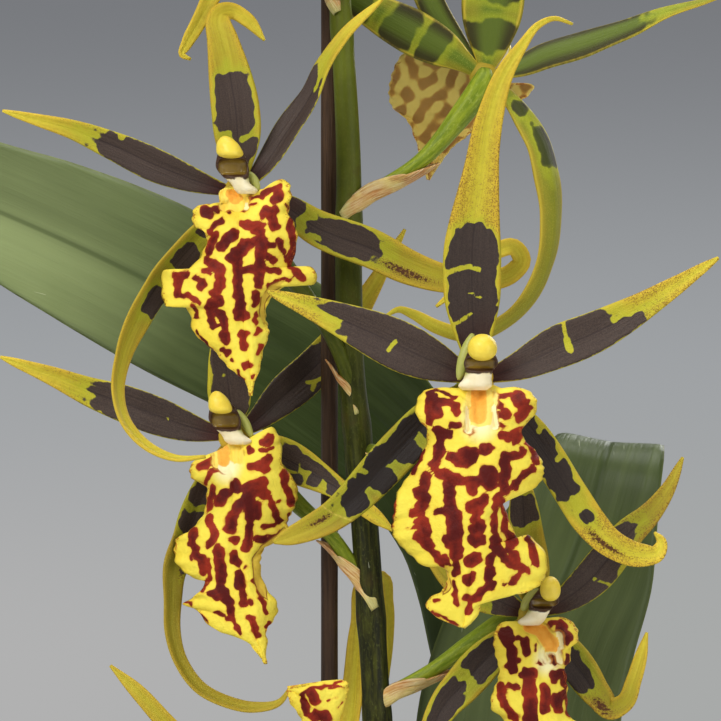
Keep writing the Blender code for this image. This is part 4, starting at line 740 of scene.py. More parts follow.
# Each bloom: the centre in the plant's frame, then everything else as offsets from it, (right, back, up).
# A tepal is its half-width, its roll in degrees along the length and the line of its midrib.
# A lip is three lines from the throat to the tip. Two blooms also have the line of their column's axis.
BLOOMS = {
    "bloom_1": dict(
        centre=(-25.8, -16, 519.6),
        face=(0, -1, 0),
        dorsal=(5.6, [0], [(0, 0, 0), (1.5, 0, 10), (3.5, 0, 26), (6.5, 1, 39.5), (12, 5, 47.5),
            (17.5, 10, 47)]),
        petal_left=(4.8, [0], [(0, 0, 0), (-12.5, -1, 6), (-30.5, 0, 14), (-43, 1, 17.5), (-53.5, 2, 19)]),
        petal_right=(4.8, [0], [(0, 0, 0), (11, -2, 7.5), (23.5, -4, 17.5), (34.5, -4, 26.5),
            (43.5, -4, 35.5)]),
        sepal_left=(4.4, [0, 0, 20], [(0, 0, 0), (-1.5, 3, -11), (-3.5, 3, -24.5), (-5.5, 2, -32.5),
            (-8.5, 1, -38.5), (-11, 1, -43.5), (-13.5, 1, -48), (-14.5, 1, -50.5), (-12.5, 1, -51.5)]),
        sepal_right=(4.6, [0], [(0, 0, 0), (9, 3, -10), (16.5, 3, -21.5), (27, 1, -28.5), (37, 0, -27.5),
            (43.5, 1, -18.5), (46, 2, -9)]),
        lip_left=[(-2, -3, -2.1), (-9, -3, -2.1), (-10, -4, -4.6), (-7.5, -5.5, -9.1), (-11, -4, -14.5),
            (-16, -3, -19.5), (-14, -4, -24.9), (-7.5, -5.5, -28.2), (-3.5, -7, -32.4), (-1, -7, -36.5)],
        lip_middle=[(.5, -2.5, -2.1), (.5, -5, -3.7), (.5, -8, -6.2), (.5, -9, -10.4), (1, -9.5, -15.8),
            (1, -9.5, -20.8), (.5, -9, -25.3), (.5, -8.5, -29), (0, -8, -33.2), (-.5, -7, -36.9)],
        lip_right=[(2.5, -3, -1.7), (10, -3, -0.4), (11.5, -4, -3.3), (9.5, -5.5, -8.3), (12, -4, -14.1),
            (16, -3, -19.5), (12, -4, -24.1), (6.5, -5.5, -26.6), (3.5, -6.5, -30.7), (0, -7, -36.5)]),
    "bloom_2": dict(
        centre=(28.7, 8, 466.1),
        face=(0, 1, 0),
        dorsal=(7.6, [0], [(0, 0, 0), (1, -.5, 5), (1.5, -1, 10.5), (2.5, -1, 22), (3.5, 0, 36),
            (4.5, 2, 48), (5, 6, 59)]),
        petal_left=(3.6, [-15], [(0, 0, 0), (-5, 1, 6.5), (-10, 2, 13.5), (-13.5, 2, 20.5), (-18, 1, 31.5),
            (-22.5, 0, 41), (-25.5, -1, 50)]),
        petal_right=(4.2, [30, 45], [(0, 0, 0), (7, 1, 2), (14.5, 2, 5.5), (24, 2, 8.5), (33, 1, 11.5),
            (42, 0, 15), (54, -1, 18)]),
        sepal_left=(5.4, [0], [(0, 0, 0), (-8, -1, 5.5), (-17, -1, 10.5), (-26, 1, 15.5), (-36, 3, 21),
            (-45, 5, 25), (-53.5, 8, 28.5)]),
        sepal_right=(4.4, [20, 45, 50, 30, 0], [(0, 0, 0), (5.5, -1, -4.5), (9.5, -2, -9.5),
            (13, -3, -15.5), (15, -4, -22.5), (16, -5, -32), (15, -7, -41), (11.5, -9, -50), (5, -12, -57),
            (-3.5, -15, -60.5), (-11.5, -17, -58.5), (-17, -18, -55.5), (-20, -19, -54.5),
            (-23, -20, -56)]),
        lip_left=[(2.5, 4, -2), (11.5, 5, -1.5), (9.5, 7, -4.8), (2, 11, -7), (-3.2, 15, -12.8),
            (-7, 21, -15.5), (-12.3, 27, -22.6)],
        lip_middle=[(0, 3, -1), (-1, 7, -2), (-2.5, 11, -3.5), (-5, 16, -6.5), (-7, 22, -10.5),
            (-9.5, 26, -15.5), (-12.4, 28, -22.6)],
        lip_right=[(-2, 4, 1.5), (-8, 5, 5.5), (-17.5, 9, 6.8), (-21.3, 14, 1.5), (-21.6, 19, -5),
            (-17, 22, -9.8), (-12.6, 27, -22.6)],
        column=[(.7, 3.8, 1.5), (3.4, 6, 5.3), (5, 7, 8.5)]),
    "bloom_3": dict(
        centre=(-27.5, -19, 437.6),
        face=(0, -1, 0),
        dorsal=(5.6, [0], [(0, 0, 0), (0, 0, 9.5), (-.5, -1, 18.5), (-2, -1, 27.5), (-3.5, -1, 34.5),
            (-4.5, 0, 38.5), (-4, 2, 40.5), (-1.3, 4.5, 41.3), (1.8, 5, 39.5), (5.8, 6, 34.9)]),
        petal_left=(3.9, [15], [(0, 0, 0), (-8.5, -1, 2.5), (-17.5, -1, 6), (-28.5, 0, 11),
            (-37.5, 0, 14.5), (-45, 0, 16.5), (-53, 0, 18.5)]),
        petal_right=(3.9, [20, 45, 50, 20], [(0, 0, 0), (5.5, 0, 5.5), (11, 1, 13.5), (16.5, 2, 22),
            (19.5, 4, 29), (24, 6, 36), (32.5, 8, 44.5)]),
        sepal_left=(4.4, [10, 45, 55, 60], [(0, 0, 0), (-11, 3, -12), (-18.5, 3, -20.5), (-23, 1, -28),
            (-26, -2, -36), (-27, -5, -44.5), (-25, -7, -51.5), (-20.5, -8, -56.5), (-13.5, -8, -59.5),
            (-7, -7, -59)]),
        sepal_right=(4.6, [0], [(0, 0, 0), (9, 3, -2), (17.5, 5, -7.5), (30.5, 7, -12.5), (38.5, 7, -16.5),
            (46.5, 7, -19), (55.5, 7, -19.5), (61.5, 7, -18), (64, 6, -15), (62, 4, -12), (58, 2, -13),
            (51, 0, -20), (44.5, -1, -25.5)]),
        lip_left=[(-2.6, -4.6, .9), (-9.5, -4, -3), (-10, -4.5, -6.5), (-7, -5, -9.5), (-10.5, -4.5, -14),
            (-16.5, -3, -18.5), (-16, -3, -25.5), (-10, -4, -30), (-4, -5, -36), (1, -6, -41.5),
            (3, -6, -45)],
        lip_middle=[(-.4, -5, .9), (.5, -4.5, -4), (.5, -7, -7), (.5, -8, -10.5), (1, -8.5, -15),
            (1, -8.5, -19.5), (1.5, -8.5, -24), (1.5, -8, -29.5), (2.5, -7.5, -35.5), (3, -7, -41),
            (3, -6, -45.5)],
        lip_right=[(1.6, -4.6, .9), (10.5, -4, 2.5), (12, -4.5, -1), (12.5, -5, -5), (14, -5, -11.5),
            (17.5, -3, -18.5), (10.5, -4, -21.5), (8, -5, -27.5), (7, -5, -32), (5, -6, -40),
            (3.5, -6, -45)]),
    "bloom_4": dict(
        centre=(26, -36, 395.7),
        face=(0, -1, 0),
        dorsal=(6.6, [0], [(0, 0, 0), (-1, 0, 9), (-1.5, -1, 17.5), (-1.5, -2, 28.5), (0, -2, 42.5),
            (2.5, -1, 58), (5.5, 0, 67), (9.5, 1, 73.5), (13.5, 3, 78.5), (17, 5, 80), (21, 7, 79)]),
        petal_left=(5.6, [0], [(0, 0, 0), (-12, -1, 5), (-25, 0, 11), (-37, 1, 16), (-46.5, 2, 19.5)]),
        petal_right=(5.0, [15], [(0, 0, 0), (9, -1, 3), (17.5, -1, 7), (26, 0, 10.5), (33.5, 1, 14.5),
            (42.5, 2, 20), (53, 3, 27)]),
        sepal_left=(4.8, [0, 0, 10], [(0, 0, 0), (-8.5, 4, -6.5), (-16.5, 5, -14.5), (-23, 6, -21.5),
            (-27.3, 7, -26), (-31.8, 7, -29.8), (-37.7, 7, -33), (-42, 7, -34.8), (-45.3, 7, -36)]),
        sepal_right=(4.2, [10, 20], [(0, 0, 0), (7, 3, -7), (12, 5, -12.5), (16.5, 6, -19),
            (20.5, 6, -25.5), (24.5, 6, -31.5), (29.5, 6, -36.5), (36, 7, -39), (40, 8, -38.5),
            (41, 9, -36), (39.5, 10, -34)]),
        lip_left=[(-2.5, -3, -1.3), (-12, -3.5, -2), (-14, -4, -5), (-11.5, -5.5, -12), (-14.5, -4, -20.5),
            (-18.5, -2.5, -28.5), (-18.5, -2.5, -34), (-13, -4, -39.5), (-7.5, -5.5, -42.5),
            (-8.5, -4.5, -47.5), (-11.5, -3, -50), (-4, -6, -53.5)],
        lip_middle=[(0, -2.5, -1.8), (0, -5, -4.5), (-.5, -8, -6.5), (-.5, -9.5, -11.5), (-.5, -10, -17),
            (-.5, -10.5, -24), (-1, -10.5, -30.5), (-1.5, -10, -37), (-2, -9, -41.5), (-2.5, -8, -47.5),
            (-3, -7, -51), (-3.5, -6, -54)],
        lip_right=[(2.5, -3, -1.3), (11, -3.5, -2), (13, -4, -5), (9.5, -5.5, -11.5), (13, -3.5, -18),
            (14, -3, -22), (7, -6, -27), (10, -4, -34), (15, -2.5, -41), (12, -4, -46), (4, -6, -47.5),
            (-2.5, -6, -54)]),
    "bloom_5": dict(
        centre=(-29, -9, 382.8),
        face=(0, -1, 0),
        dorsal=(5.0, [0], [(0, 0, 0), (-.5, -1, 7), (-1.5, -2, 15), (-2.5, -2, 22), (-4, -1, 27.5)]),
        petal_left=(4.6, [10], [(0, 0, 0), (-7.5, -1, 1.5), (-16.5, -1, 4.5), (-24.5, 0, 7.5), (-32, 0, 10),
            (-40.5, 0, 13.5), (-53, 0, 18)]),
        petal_right=(4.8, [0, -10, -30], [(0, 0, 0), (4.5, 4, 3), (11, 13, 9), (18.5, 20.5, 16),
            (26, 24, 25.5), (32.5, 25, 36), (36.5, 25, 43), (39.5, 25, 48)]),
        sepal_left=(4.4, [10, 45, 60], [(0, 0, 0), (-5.5, 2, -10), (-10.5, 1, -22.5), (-13.5, -1, -29.5),
            (-14, -2, -37), (-14, -3, -44), (-12, -4, -51), (-7.5, -5, -57), (-2, -5, -60), (5, -5, -61.5),
            (11, -5, -60), (13, -5, -57)]),
        sepal_right=(4.6, [0], [(0, 0, 0), (8.5, 3, -3.5), (17.5, 3, -8.3), (23.5, 1, -11.8),
            (29.5, -1, -16), (36.5, -2, -21.5)]),
        lip_left=[(-2, -3, -0.8), (-9, -3.5, -6.5), (-9.5, -4, -9.5), (-6, -5.5, -14), (-10, -4, -20),
            (-13.5, -3, -25.5), (-10.5, -4, -30.5), (-6, -6, -33.5), (-11, -4, -38), (-4, -6, -43),
            (2.5, -7, -46), (7.5, -7, -51)],
        lip_middle=[(.5, -2.5, -0.8), (.5, -5, -3.5), (.5, -8, -6.5), (.5, -9, -11.5), (.5, -9.5, -17.5),
            (1, -9.5, -24.5), (2, -9, -29.5), (3, -9, -34), (4, -9, -39), (5, -8.5, -43.5),
            (6.5, -8, -47.5), (7.5, -7, -51)],
        lip_right=[(3, -3, 0.2), (9.5, -3.5, 2), (11, -4, -2), (14.5, -4, -12), (15, -3.5, -18),
            (12.5, -4, -21.5), (7, -6, -25.5), (6, -7, -29), (10, -4.5, -37.5), (9, -5.5, -42.5),
            (7, -6.5, -46), (8, -7, -51)]),
    "bloom_6": dict(
        centre=(38.8, -14, 342.5),
        face=(0, -1, 0),
        dorsal=(4.8, [0], [(0, 0, 0), (-.5, -2, 8), (-1.5, -3, 16), (-2, -2, 23.5), (-2.5, 0, 30.5),
            (-3, 2, 36)]),
        petal_left=(4.6, [0], [(0, 0, 0), (-6, -1, 2.5), (-12, 0, 5.5), (-17.5, 1, 9.5), (-22, 2, 15),
            (-25.5, 2, 21), (-27, 3, 26.5)]),
        petal_right=(4.4, [0], [(0, 0, 0), (6.5, -1, 3), (12.5, -1, 7.5), (17.5, 0, 13), (22, 1, 18.5),
            (26.5, 2, 22.5), (30.5, 3, 27.5), (34.5, 4, 35.5)]),
        sepal_left=(4.6, [0], [(0, 0, 0), (-6, 3, -6), (-11.5, 4, -11.5), (-15.5, 4, -16),
            (-19.5, 4, -20.5), (-23, 3, -27), (-25.5, 2, -34.5), (-27, 1, -42), (-26, -1, -49.5)]),
        sepal_right=(4.2, [10], [(0, 0, 0), (5.5, 3, -6), (11, 4, -13), (15, 3, -18.5), (18, 2, -21.5),
            (21, 1, -20), (23, 0, -15), (24.5, 0, -10), (26, 0, -4)]),
        lip_left=[(-1.5, -3, -1.2), (-7.5, -3, -2.5), (-8.5, -4, -5.5), (-7.5, -5.5, -9.5),
            (-9, -4.5, -16.5), (-6.5, -4, -24), (-10, -3, -31.5), (-7.5, -4, -37), (-3, -6, -41),
            (-3, -6.5, -45.5), (0, -7, -50)],
        lip_middle=[(.5, -2.5, -1.2), (.5, -5, -3), (1, -8, -5.5), (1, -9, -9.5), (1, -9.5, -16),
            (1, -9.5, -23), (.5, -9.5, -29.5), (.5, -9, -35), (.5, -8.5, -40), (.5, -8, -45),
            (.5, -7, -50.5)],
        lip_right=[(2.5, -3, -0.2), (9.5, -3, 0), (10.5, -4, -4), (8, -5.5, -8.5), (7.5, -4.5, -16.5),
            (12, -3.5, -23.5), (15, -3, -29.5), (9.5, -4, -34), (5, -5.5, -39), (3.5, -6, -44.5),
            (1, -7, -50)]),
    "bloom_7": dict(
        centre=(-.6, -16, 299.6),
        face=(0, -1, 0),
        dorsal=(5.2, [0], [(0, 0, 0), (5, -1, -7), (11.5, -1, -16.5), (18.5, 1, -27), (23.5, 4, -36.5)]),
        petal_left=(4.8, [0], [(0, 0, 0), (-4.5, -1, -6.5), (-9.5, 0, -15.5), (-15.5, 2, -25),
            (-22, 5, -33.5)]),
        petal_right=(4.8, [0], [(0, 0, 0), (7.5, -1, -1), (15, -1, -5.5), (22, 0, -11.5), (27, 2, -19.5)]),
        sepal_left=(4.8, [0], [(0, 0, 0), (-11, 1, -2), (-21.5, 0, 0), (-32, -3, 7.5), (-41.5, -5, 17.5),
            (-49.5, -6, 26.5), (-55.5, -5, 32)]),
        sepal_right=(2.9, [20, 60], [(0, 0, 0), (-1.5, 7, 7.5), (-2, 14, 14), (-1.2, 20, 21), (-.4, 23, 30),
            (.5, 24, 38.5), (2.8, 24, 49), (5.4, 24, 49.5), (6.6, 24, 44), (6.8, 24, 37), (6.9, 24, 32),
            (6.9, 24, 26.5)]),
        lip_left=[(-2.5, -3, 1.5), (-8, -4, .5), (-9.5, -5, 4), (-9, -7, 7), (-14.5, -9, 9.5),
            (-14, -12, 15), (-12.5, -15, 20.5), (-15, -17, 25), (-15.5, -18, 27.5)],
        lip_middle=[(-1, -2.5, 2), (-2, -6, 4.5), (-3, -9, 7.5), (-4, -12, 11), (-6, -14, 15.5),
            (-7.5, -16, 19.5), (-10, -17, 24), (-13, -18, 26.5), (-15.5, -18, 28)],
        lip_right=[(1, -3, 3), (3.5, -4, 7), (2, -6, 10.5), (-1.5, -9, 13.5), (-4, -12, 20),
            (-2.5, -14, 25.5), (-2.5, -15, 29.5), (-8.5, -17, 29.5), (-15.5, -18, 28.5)],
        column=[(.5, -4, 0), (3, -6, -2.5), (4.5, -6.5, -5)]),
}
# outlines of single tepals that differ from the three above
OUTLINES = {
    ("bloom_3", "dorsal"): [(0, .28), (.08, .6), (.18, .92), (.32, 1), (.46, .88), (.6, .66), (.75, .42),
        (.83, .33), (.9, .29), (.96, .16), (1, .05)],
    ("bloom_4", "dorsal"): [(0, .35), (.05, .5), (.104, .72), (.173, .95), (.25, 1), (.3, .985),
        (.367, .865), (.453, .69), (.525, .565), (.594, .5), (.662, .42), (.765, .29), (.843, .17),
        (.93, .1), (1, .05)],
    ("bloom_4", "sepal_left"): [(0, .3), (.08, .55), (.2, .9), (.35, 1), (.5, .98), (.62, .88), (.75, .74),
        (.87, .58), (.95, .38), (1, .1)],
    ("bloom_4", "sepal_right"): [(0, .3), (.08, .55), (.2, .88), (.35, .95), (.5, .95), (.63, .92),
        (.74, .8), (.85, .66), (.91, .48), (.96, .28), (1, .07)],
    ("bloom_5", "sepal_left"): [(0, .3), (.06, .5), (.14, .85), (.22, 1), (.32, .9), (.42, .7), (.55, .55),
        (.7, .5), (.85, .45), (.94, .3), (1, .07)],
    ("bloom_7", "sepal_right"): [(0, .3), (.14, .8), (.3, 1), (.62, .9), (.75, .8), (.9, .66), (1, .1)],
}


def full(end):
    """A dark patch over the whole width of a tepal, from its foot to an end."""
    return (-12, end, -1.2, 1.2)


# Dark patches of a tepal as (from, to) in mm along it and (from, to) as shares across it.
# Pale flecks are strokes in them: a radius in mm, then (mm along, share across) of each point.
MARKS = {
    "bloom_1": dict(
        dorsal=[(3, 12, -.9, .9), (14, 26, -.9, .9)],
        petal_left=[full(30)],
        petal_right=[full(31)],
        sepal_left=[(10, 14, -.9, .9), (17, 25, -.9, .8)],
        sepal_right=[(10, 15, -.8, .9), (18, 33, -.9, .9)]),
    "bloom_2": dict(
        dorsal=[(5.5, 13.5, -1.1, 1.1), (17, 28, -1.1, 1.1), (31, 38, -1.1, 1.1)],
        petal_left=[full(27)],
        petal_right=[full(42)],
        sepal_left=[(11, 17, -1.1, 1.1), (18.5, 27, -1.1, 1.1), (30, 37, -1, 1)],
        sepal_right=[(9.5, 13.5, -.6, .75), (16.5, 28, -.4, .8)]),
    "bloom_3": dict(
        dorsal=[(3.5, 12, -.3, .85), (13, 27.5, -.85, .85)],
        petal_left=[full(34.5)],
        petal_right=[full(30.5), (20, 35.5, -1.2, 0)],
        sepal_left=[(9.5, 13, -1, .5), (16, 22.5, -1, .6), (27, 35.5, -1, .3)],
        sepal_right=[(11, 15.5, -1, .95), (17.8, 36.2, -.84, .8)]),
    "bloom_4": dict(
        dorsal=[(-4, 31.8, -.9, .92), (25, 33.4, -.86, .88), (29, 34.8, -.5, .45)],
        petal_left=[full(33), (20, 39, .05, 1.1)],
        petal_right=[full(33), (14, 39, 0, 1.1)],
        sepal_left=[(12, 42, -.15, .88), (13.5, 18.2, -.9, .1), (20.4, 25.9, -.95, .1),
            (28.4, 33.9, -.95, .1), (36.7, 42.3, -.85, .4)],
        sepal_right=[(12, 35, -.82, 1), (37.6, 42, -.42, .32)]),
    "bloom_5": dict(
        dorsal=[(-12, 15.5, -1, 1), (15, 23, -.9, .9)],
        petal_left=[full(34)],
        petal_right=[full(38)],
        sepal_left=[(12, 18, -.95, .95), (19.5, 25.5, -.95, .95), (30, 34, -1, -.5)],
        sepal_right=[(11, 16.8, -.85, .4), (15, 19.5, .35, .95), (15.5, 28, -.75, .05),
            (20.3, 23.8, -.3, .8), (25.2, 29, -.6, .8)]),
    "bloom_6": dict(
        dorsal=[(20.5, 28, -.9, .9)],
        petal_left=[full(10)],
        petal_right=[full(23), (10, 31.4, -1, .6)],
        sepal_left=[(8, 20.5, -.82, .85), (23, 35.5, -.85, .85)],
        sepal_right=[(11, 22.5, -.6, 1.05)]),
    "bloom_7": dict(
        dorsal=[(4, 22, -.9, .9)],
        petal_left=[full(22)],
        petal_right=[full(20)],
        sepal_left=[(10, 14, -.8, .9), (17, 24, -.8, .9)],
        sepal_right=[]),
}
FLECKS = {
    ("bloom_3", "petal_left"): [(.8, 29, .8, 29, 1)],
    ("bloom_3", "sepal_right"): [(.7, 20, .55, 21.5, .5), (.7, 20, .55, 19, 1)],
    ("bloom_4", "dorsal"): [(.4, 12.3, -1, 13.4, -.55, 14.7, -.05),
        (.55, 23.6, -1, 24.9, -.3, 25.2, -.05, 24.4, .28), (.3, 19.6, -.15, 18.9, .1, 18.2, .35),
        (.4, 17.2, -1, 17.4, -.88), (.4, 22.2, 1, 22.2, .88), (.3, 16.3, 1, 16.3, .9)],
    ("bloom_4", "petal_left"): [(.5, 20.8, -.36, 20.2, .1)],
    ("bloom_4", "petal_right"): [(.8, 21, .35, 21.2, -.2), (.4, 21.2, -.2, 22, -1)],
    ("bloom_4", "sepal_left"): [(.6, 33.5, 1, 32.8, .5)],
    ("bloom_4", "sepal_right"): [(.6, 17.5, -.9, 18, -.45), (.6, 25, -.9, 25.5, -.4)],
    ("bloom_5", "petal_left"): [(.3, 15.3, 0, 15.5, .1)],
    ("bloom_5", "petal_right"): [(.55, 27, .3, 28.5, .55), (.5, 26.5, .75, 28.5, .55),
        (.5, 28.5, .5, 31, .7)],
    ("bloom_6", "petal_right"): [(.3, 17.6, 1, 16.6, .4), (.5, 16.2, .15)],
}
# how green a bloom's tepals are, from gold at 0 to green at 1, and how thickly the outer half is speckled
# where it differs, a single tepal has its own. Some have their dark patches painted darker, and some are painted
# darker and browner as a whole, both as painted shade
GREENNESS = {("bloom_2", "sepal_right"): .55, ("bloom_4", "sepal_left"): .75, ("bloom_5", "sepal_left"): .6,
    "bloom_1": .45, "bloom_2": 1.0, "bloom_3": .5, "bloom_4": .1, "bloom_5": .35, "bloom_6": .65,
    "bloom_7": .2}
SPECKLES = {("bloom_6", "petal_right"): 1.2, ("bloom_7", "sepal_left"): .08, ("bloom_5", "sepal_left"): .12,
    ("bloom_4", "sepal_left"): .45, "bloom_3": .5, "bloom_4": 1.25, "bloom_5": .55, "bloom_6": .6}
# painted shade: how much darker the dark patches of these tepals are painted
SHADED_PATCHES = {("bloom_2", "sepal_right"): .7, ("bloom_4", "sepal_left"): .85, ("bloom_4", "sepal_right"): .5,
    ("bloom_4", "dorsal"): .3, ("bloom_6", "sepal_left"): .35, ("bloom_6", "sepal_right"): .35}
# painted shade: how far each of these tepals is darkened toward olive-brown
SHADED_TEPALS = {("bloom_6", "petal_right"): .3, ("bloom_7", "dorsal"): .2, ("bloom_5", "sepal_left"): .42,
    ("bloom_4", "sepal_left"): .3, ("bloom_7", "sepal_left"): .3, ("bloom_7", "petal_left"): .35}
# a crease across a tepal, as a stroke along which a pale line is painted as its highlight, and how much of its
# dark face shows through the back of another
CREASE_HIGHLIGHTS = {("bloom_4", "sepal_left"): [(.05, 46, 1, 44.6, 0, 42.4, -1)]}
BACK_SHARE = {("bloom_2", "sepal_right"): .35}
# clusters of red-brown specks: place along and across a tepal, then how far they reach along and across
CLUSTERS = {
    ("bloom_3", "sepal_right"): (43, .35, 8, .3),
    ("bloom_5", "sepal_left"): (33, -.6, 4, .3),
    ("bloom_4", "sepal_left"): (48, .15, 4, .3),
    ("bloom_4", "sepal_right"): (47, .3, 5.5, .2),
    ("bloom_6", "sepal_right"): (27, .3, 3, .5),
}


def stroke_depth(points, strokes):
    """How deep each point lies in the strokes: the largest of radius less distance to a stroke's line."""
    deep = np.full(points.shape[:-1], -9.0)
    for radius, *numbers in strokes:
        spots = np.array(numbers, float).reshape(-1, 2)
        spots = spots if len(spots) > 1 else np.repeat(spots, 2, 0)
        for first, second in zip(spots[:-1], spots[1:]):
            span = second - first
            share = np.clip((points - first) @ span / max(span @ span, 1e-9), 0, 1)
            apart = np.linalg.norm(points - first - share[..., None] * span, axis=-1)
            deep = np.maximum(deep, radius - apart)
    return deep


def patch_depth(run, u, half_width, patches):
    """How deep each point lies in rounded oblongs, in mm: less than 0 outside them."""
    deep = np.full(np.broadcast_shapes(run.shape, u.shape), -9.0)
    for start, end, low, high in patches:
        along = np.abs(run - (start + end) / 2) / ((end - start) / 2)
        beside = np.abs(u - (low + high) / 2) / ((high - low) / 2)
        size = min((end - start) / 2, half_width * (high - low) / 2)
        deep = np.maximum(deep, (1 - (along**3.6 + beside**4.5) ** .25) * size)
    return deep


def rumple(points, waves, seed):
    """Plane waves of the given lengths in random directions, summed to a spread of about 1."""
    draw = np.random.default_rng(seed)
    turns, shifts = draw.uniform(0, math.pi, len(waves)), draw.uniform(0, 2 * math.pi, len(waves))
    pitch = 2 * math.pi / np.array(waves)
    phase = points[..., :1] * pitch * np.cos(turns) + points[..., 1:] * pitch * np.sin(turns) + shifts
    return np.cos(phase).sum(-1) * math.sqrt(2 / len(waves))


def in_mm(strokes, half_width):
    """Strokes of (mm along, share across) as strokes of mm both ways."""
    return [(radius, *np.ravel(np.reshape(spots, (-1, 2)) * (1.0, half_width))) for radius, *spots in strokes]


tepal_gold, shade, shader = finish_of("waxy tepal", Specular_IOR_Level=.22)
side, run, dark, green, back, share = carried(shade, "side", "run", "dark", "green", "back", "share")
dots, inner, painted_shade, crease_highlight, patch_shade = carried(shade, "dots", "inner", "painted_shade", "crease_highlight", "patch_shade")
flat = joined(side, run, green * 40)
veins = grain(shade, joined(side * 2, run * .08, green * 9), 1.0, 3, .6)
cells = grain(shade, flat, 3.4, 3, .75)
ragged = grain(shade, flat, .9, 2, .5) - .5
light = veins * .8 + ragged * .6 + ease(share, .6, 1) * .3 - .1
gold = tint(light, screen(166, 140, 26), screen(230, 208, 60))
olive = tint(veins * .8 + cells * .3 - .1, screen(74, 80, 10), screen(134, 140, 34))
tip = ease(share, .68, .95)
greener = ease(green + (.5 - share) * .6 + back * .3 + ragged * .3, .15, 1.05)
ground = tint(greener * (1 - tip * .8), gold, olive)
ground = tint(back * .7, ground, tint(ease(inner, .3, .85), screen(150, 142, 34), screen(96, 120, 24)))
ground = tint(ease(inner, .45, .05) * (1 - back) * .4, ground, screen(216, 170, 46))
ground = tint(ease(inner, .4, .95) * (1 - back) * (1 - green) * .35, ground, screen(184, 188, 44))
# painted shade: a tepal in shade has its ground darkened toward olive-brown
ground = tint(painted_shade, ground, screen(112, 92, 18))
halo = ease(dark, -1.8, -.2)
ground = tint(halo * .5, ground, screen(168, 174, 34))
# painted glints: pale yellow flecks over the gold
ground = tint(ease(cells, .5, .72) * .2, ground, screen(244, 232, 120))
specks = ease(cells + dots * .16, .6, .72) * ease(dots, .03, .3)
ground = tint(specks * .8, ground, screen(112, 66, 24))
blots = ease(grain(shade, flat, 1.5, 3) + ease(dots, .8, 1.5) * .16, .57, .61) * ease(dots, .78, .88)
ground = tint(back * ease(inner, .2, .08), ground, screen(206, 180, 58))
ground = tint(blots * .9, ground, screen(72, 34, 18))
# the dark patches mottle from near black to a light grey-brown: partly their own grain, partly painted sheen
brown = tint(veins * .5 + cells * 1.2 - .35, screen(26, 15, 13), screen(88, 72, 62))
brown = tint(ease(share, .2, .02) * .7, brown, screen(68, 20, 26))
brown = tint(ease(abs(side), .35, .05) * .45, brown, screen(30, 18, 20))
# painted shade: the patches of a shaded tepal are darkened further
brown = tint(patch_shade, brown, screen(28, 21, 17))
brown = tint(back, brown, tint(ease(inner, .25, .8), screen(36, 30, 16), screen(82, 98, 28)))
edge = dark + ragged * .5 + (cells - .5) * .2
mask = ease(edge, -.1, .1)
mask = mask + back * (ease(edge, -.2, .6) * .92 - mask)
# painted highlight: a pale line along the crease
ground = tint(ease(crease_highlight, -.3, 0) * .55, ground, screen(218, 190, 84))
feed(shader, "Base Color", tint(mask, ground, brown))
feed(shader, "Roughness", .48 + cells * .2 - mask * .1)
relief(shader, veins * .8 + cells * .5, .00022)


def core_of(centre, face, half_size):
    """Rings of an ellipsoid about the middle of a bloom."""
    rise = np.sin(np.linspace(-1.45, 1.45, 14))[:, None]
    turn = np.linspace(0, 2 * math.pi, 32, endpoint=False)
    reach = np.sqrt(1 - rise**2)
    ball = np.stack([reach * np.cos(turn), reach * np.sin(turn), rise + 0 * turn], -1)
    return np.array(centre) + .4 * np.array(face) + ball * half_size


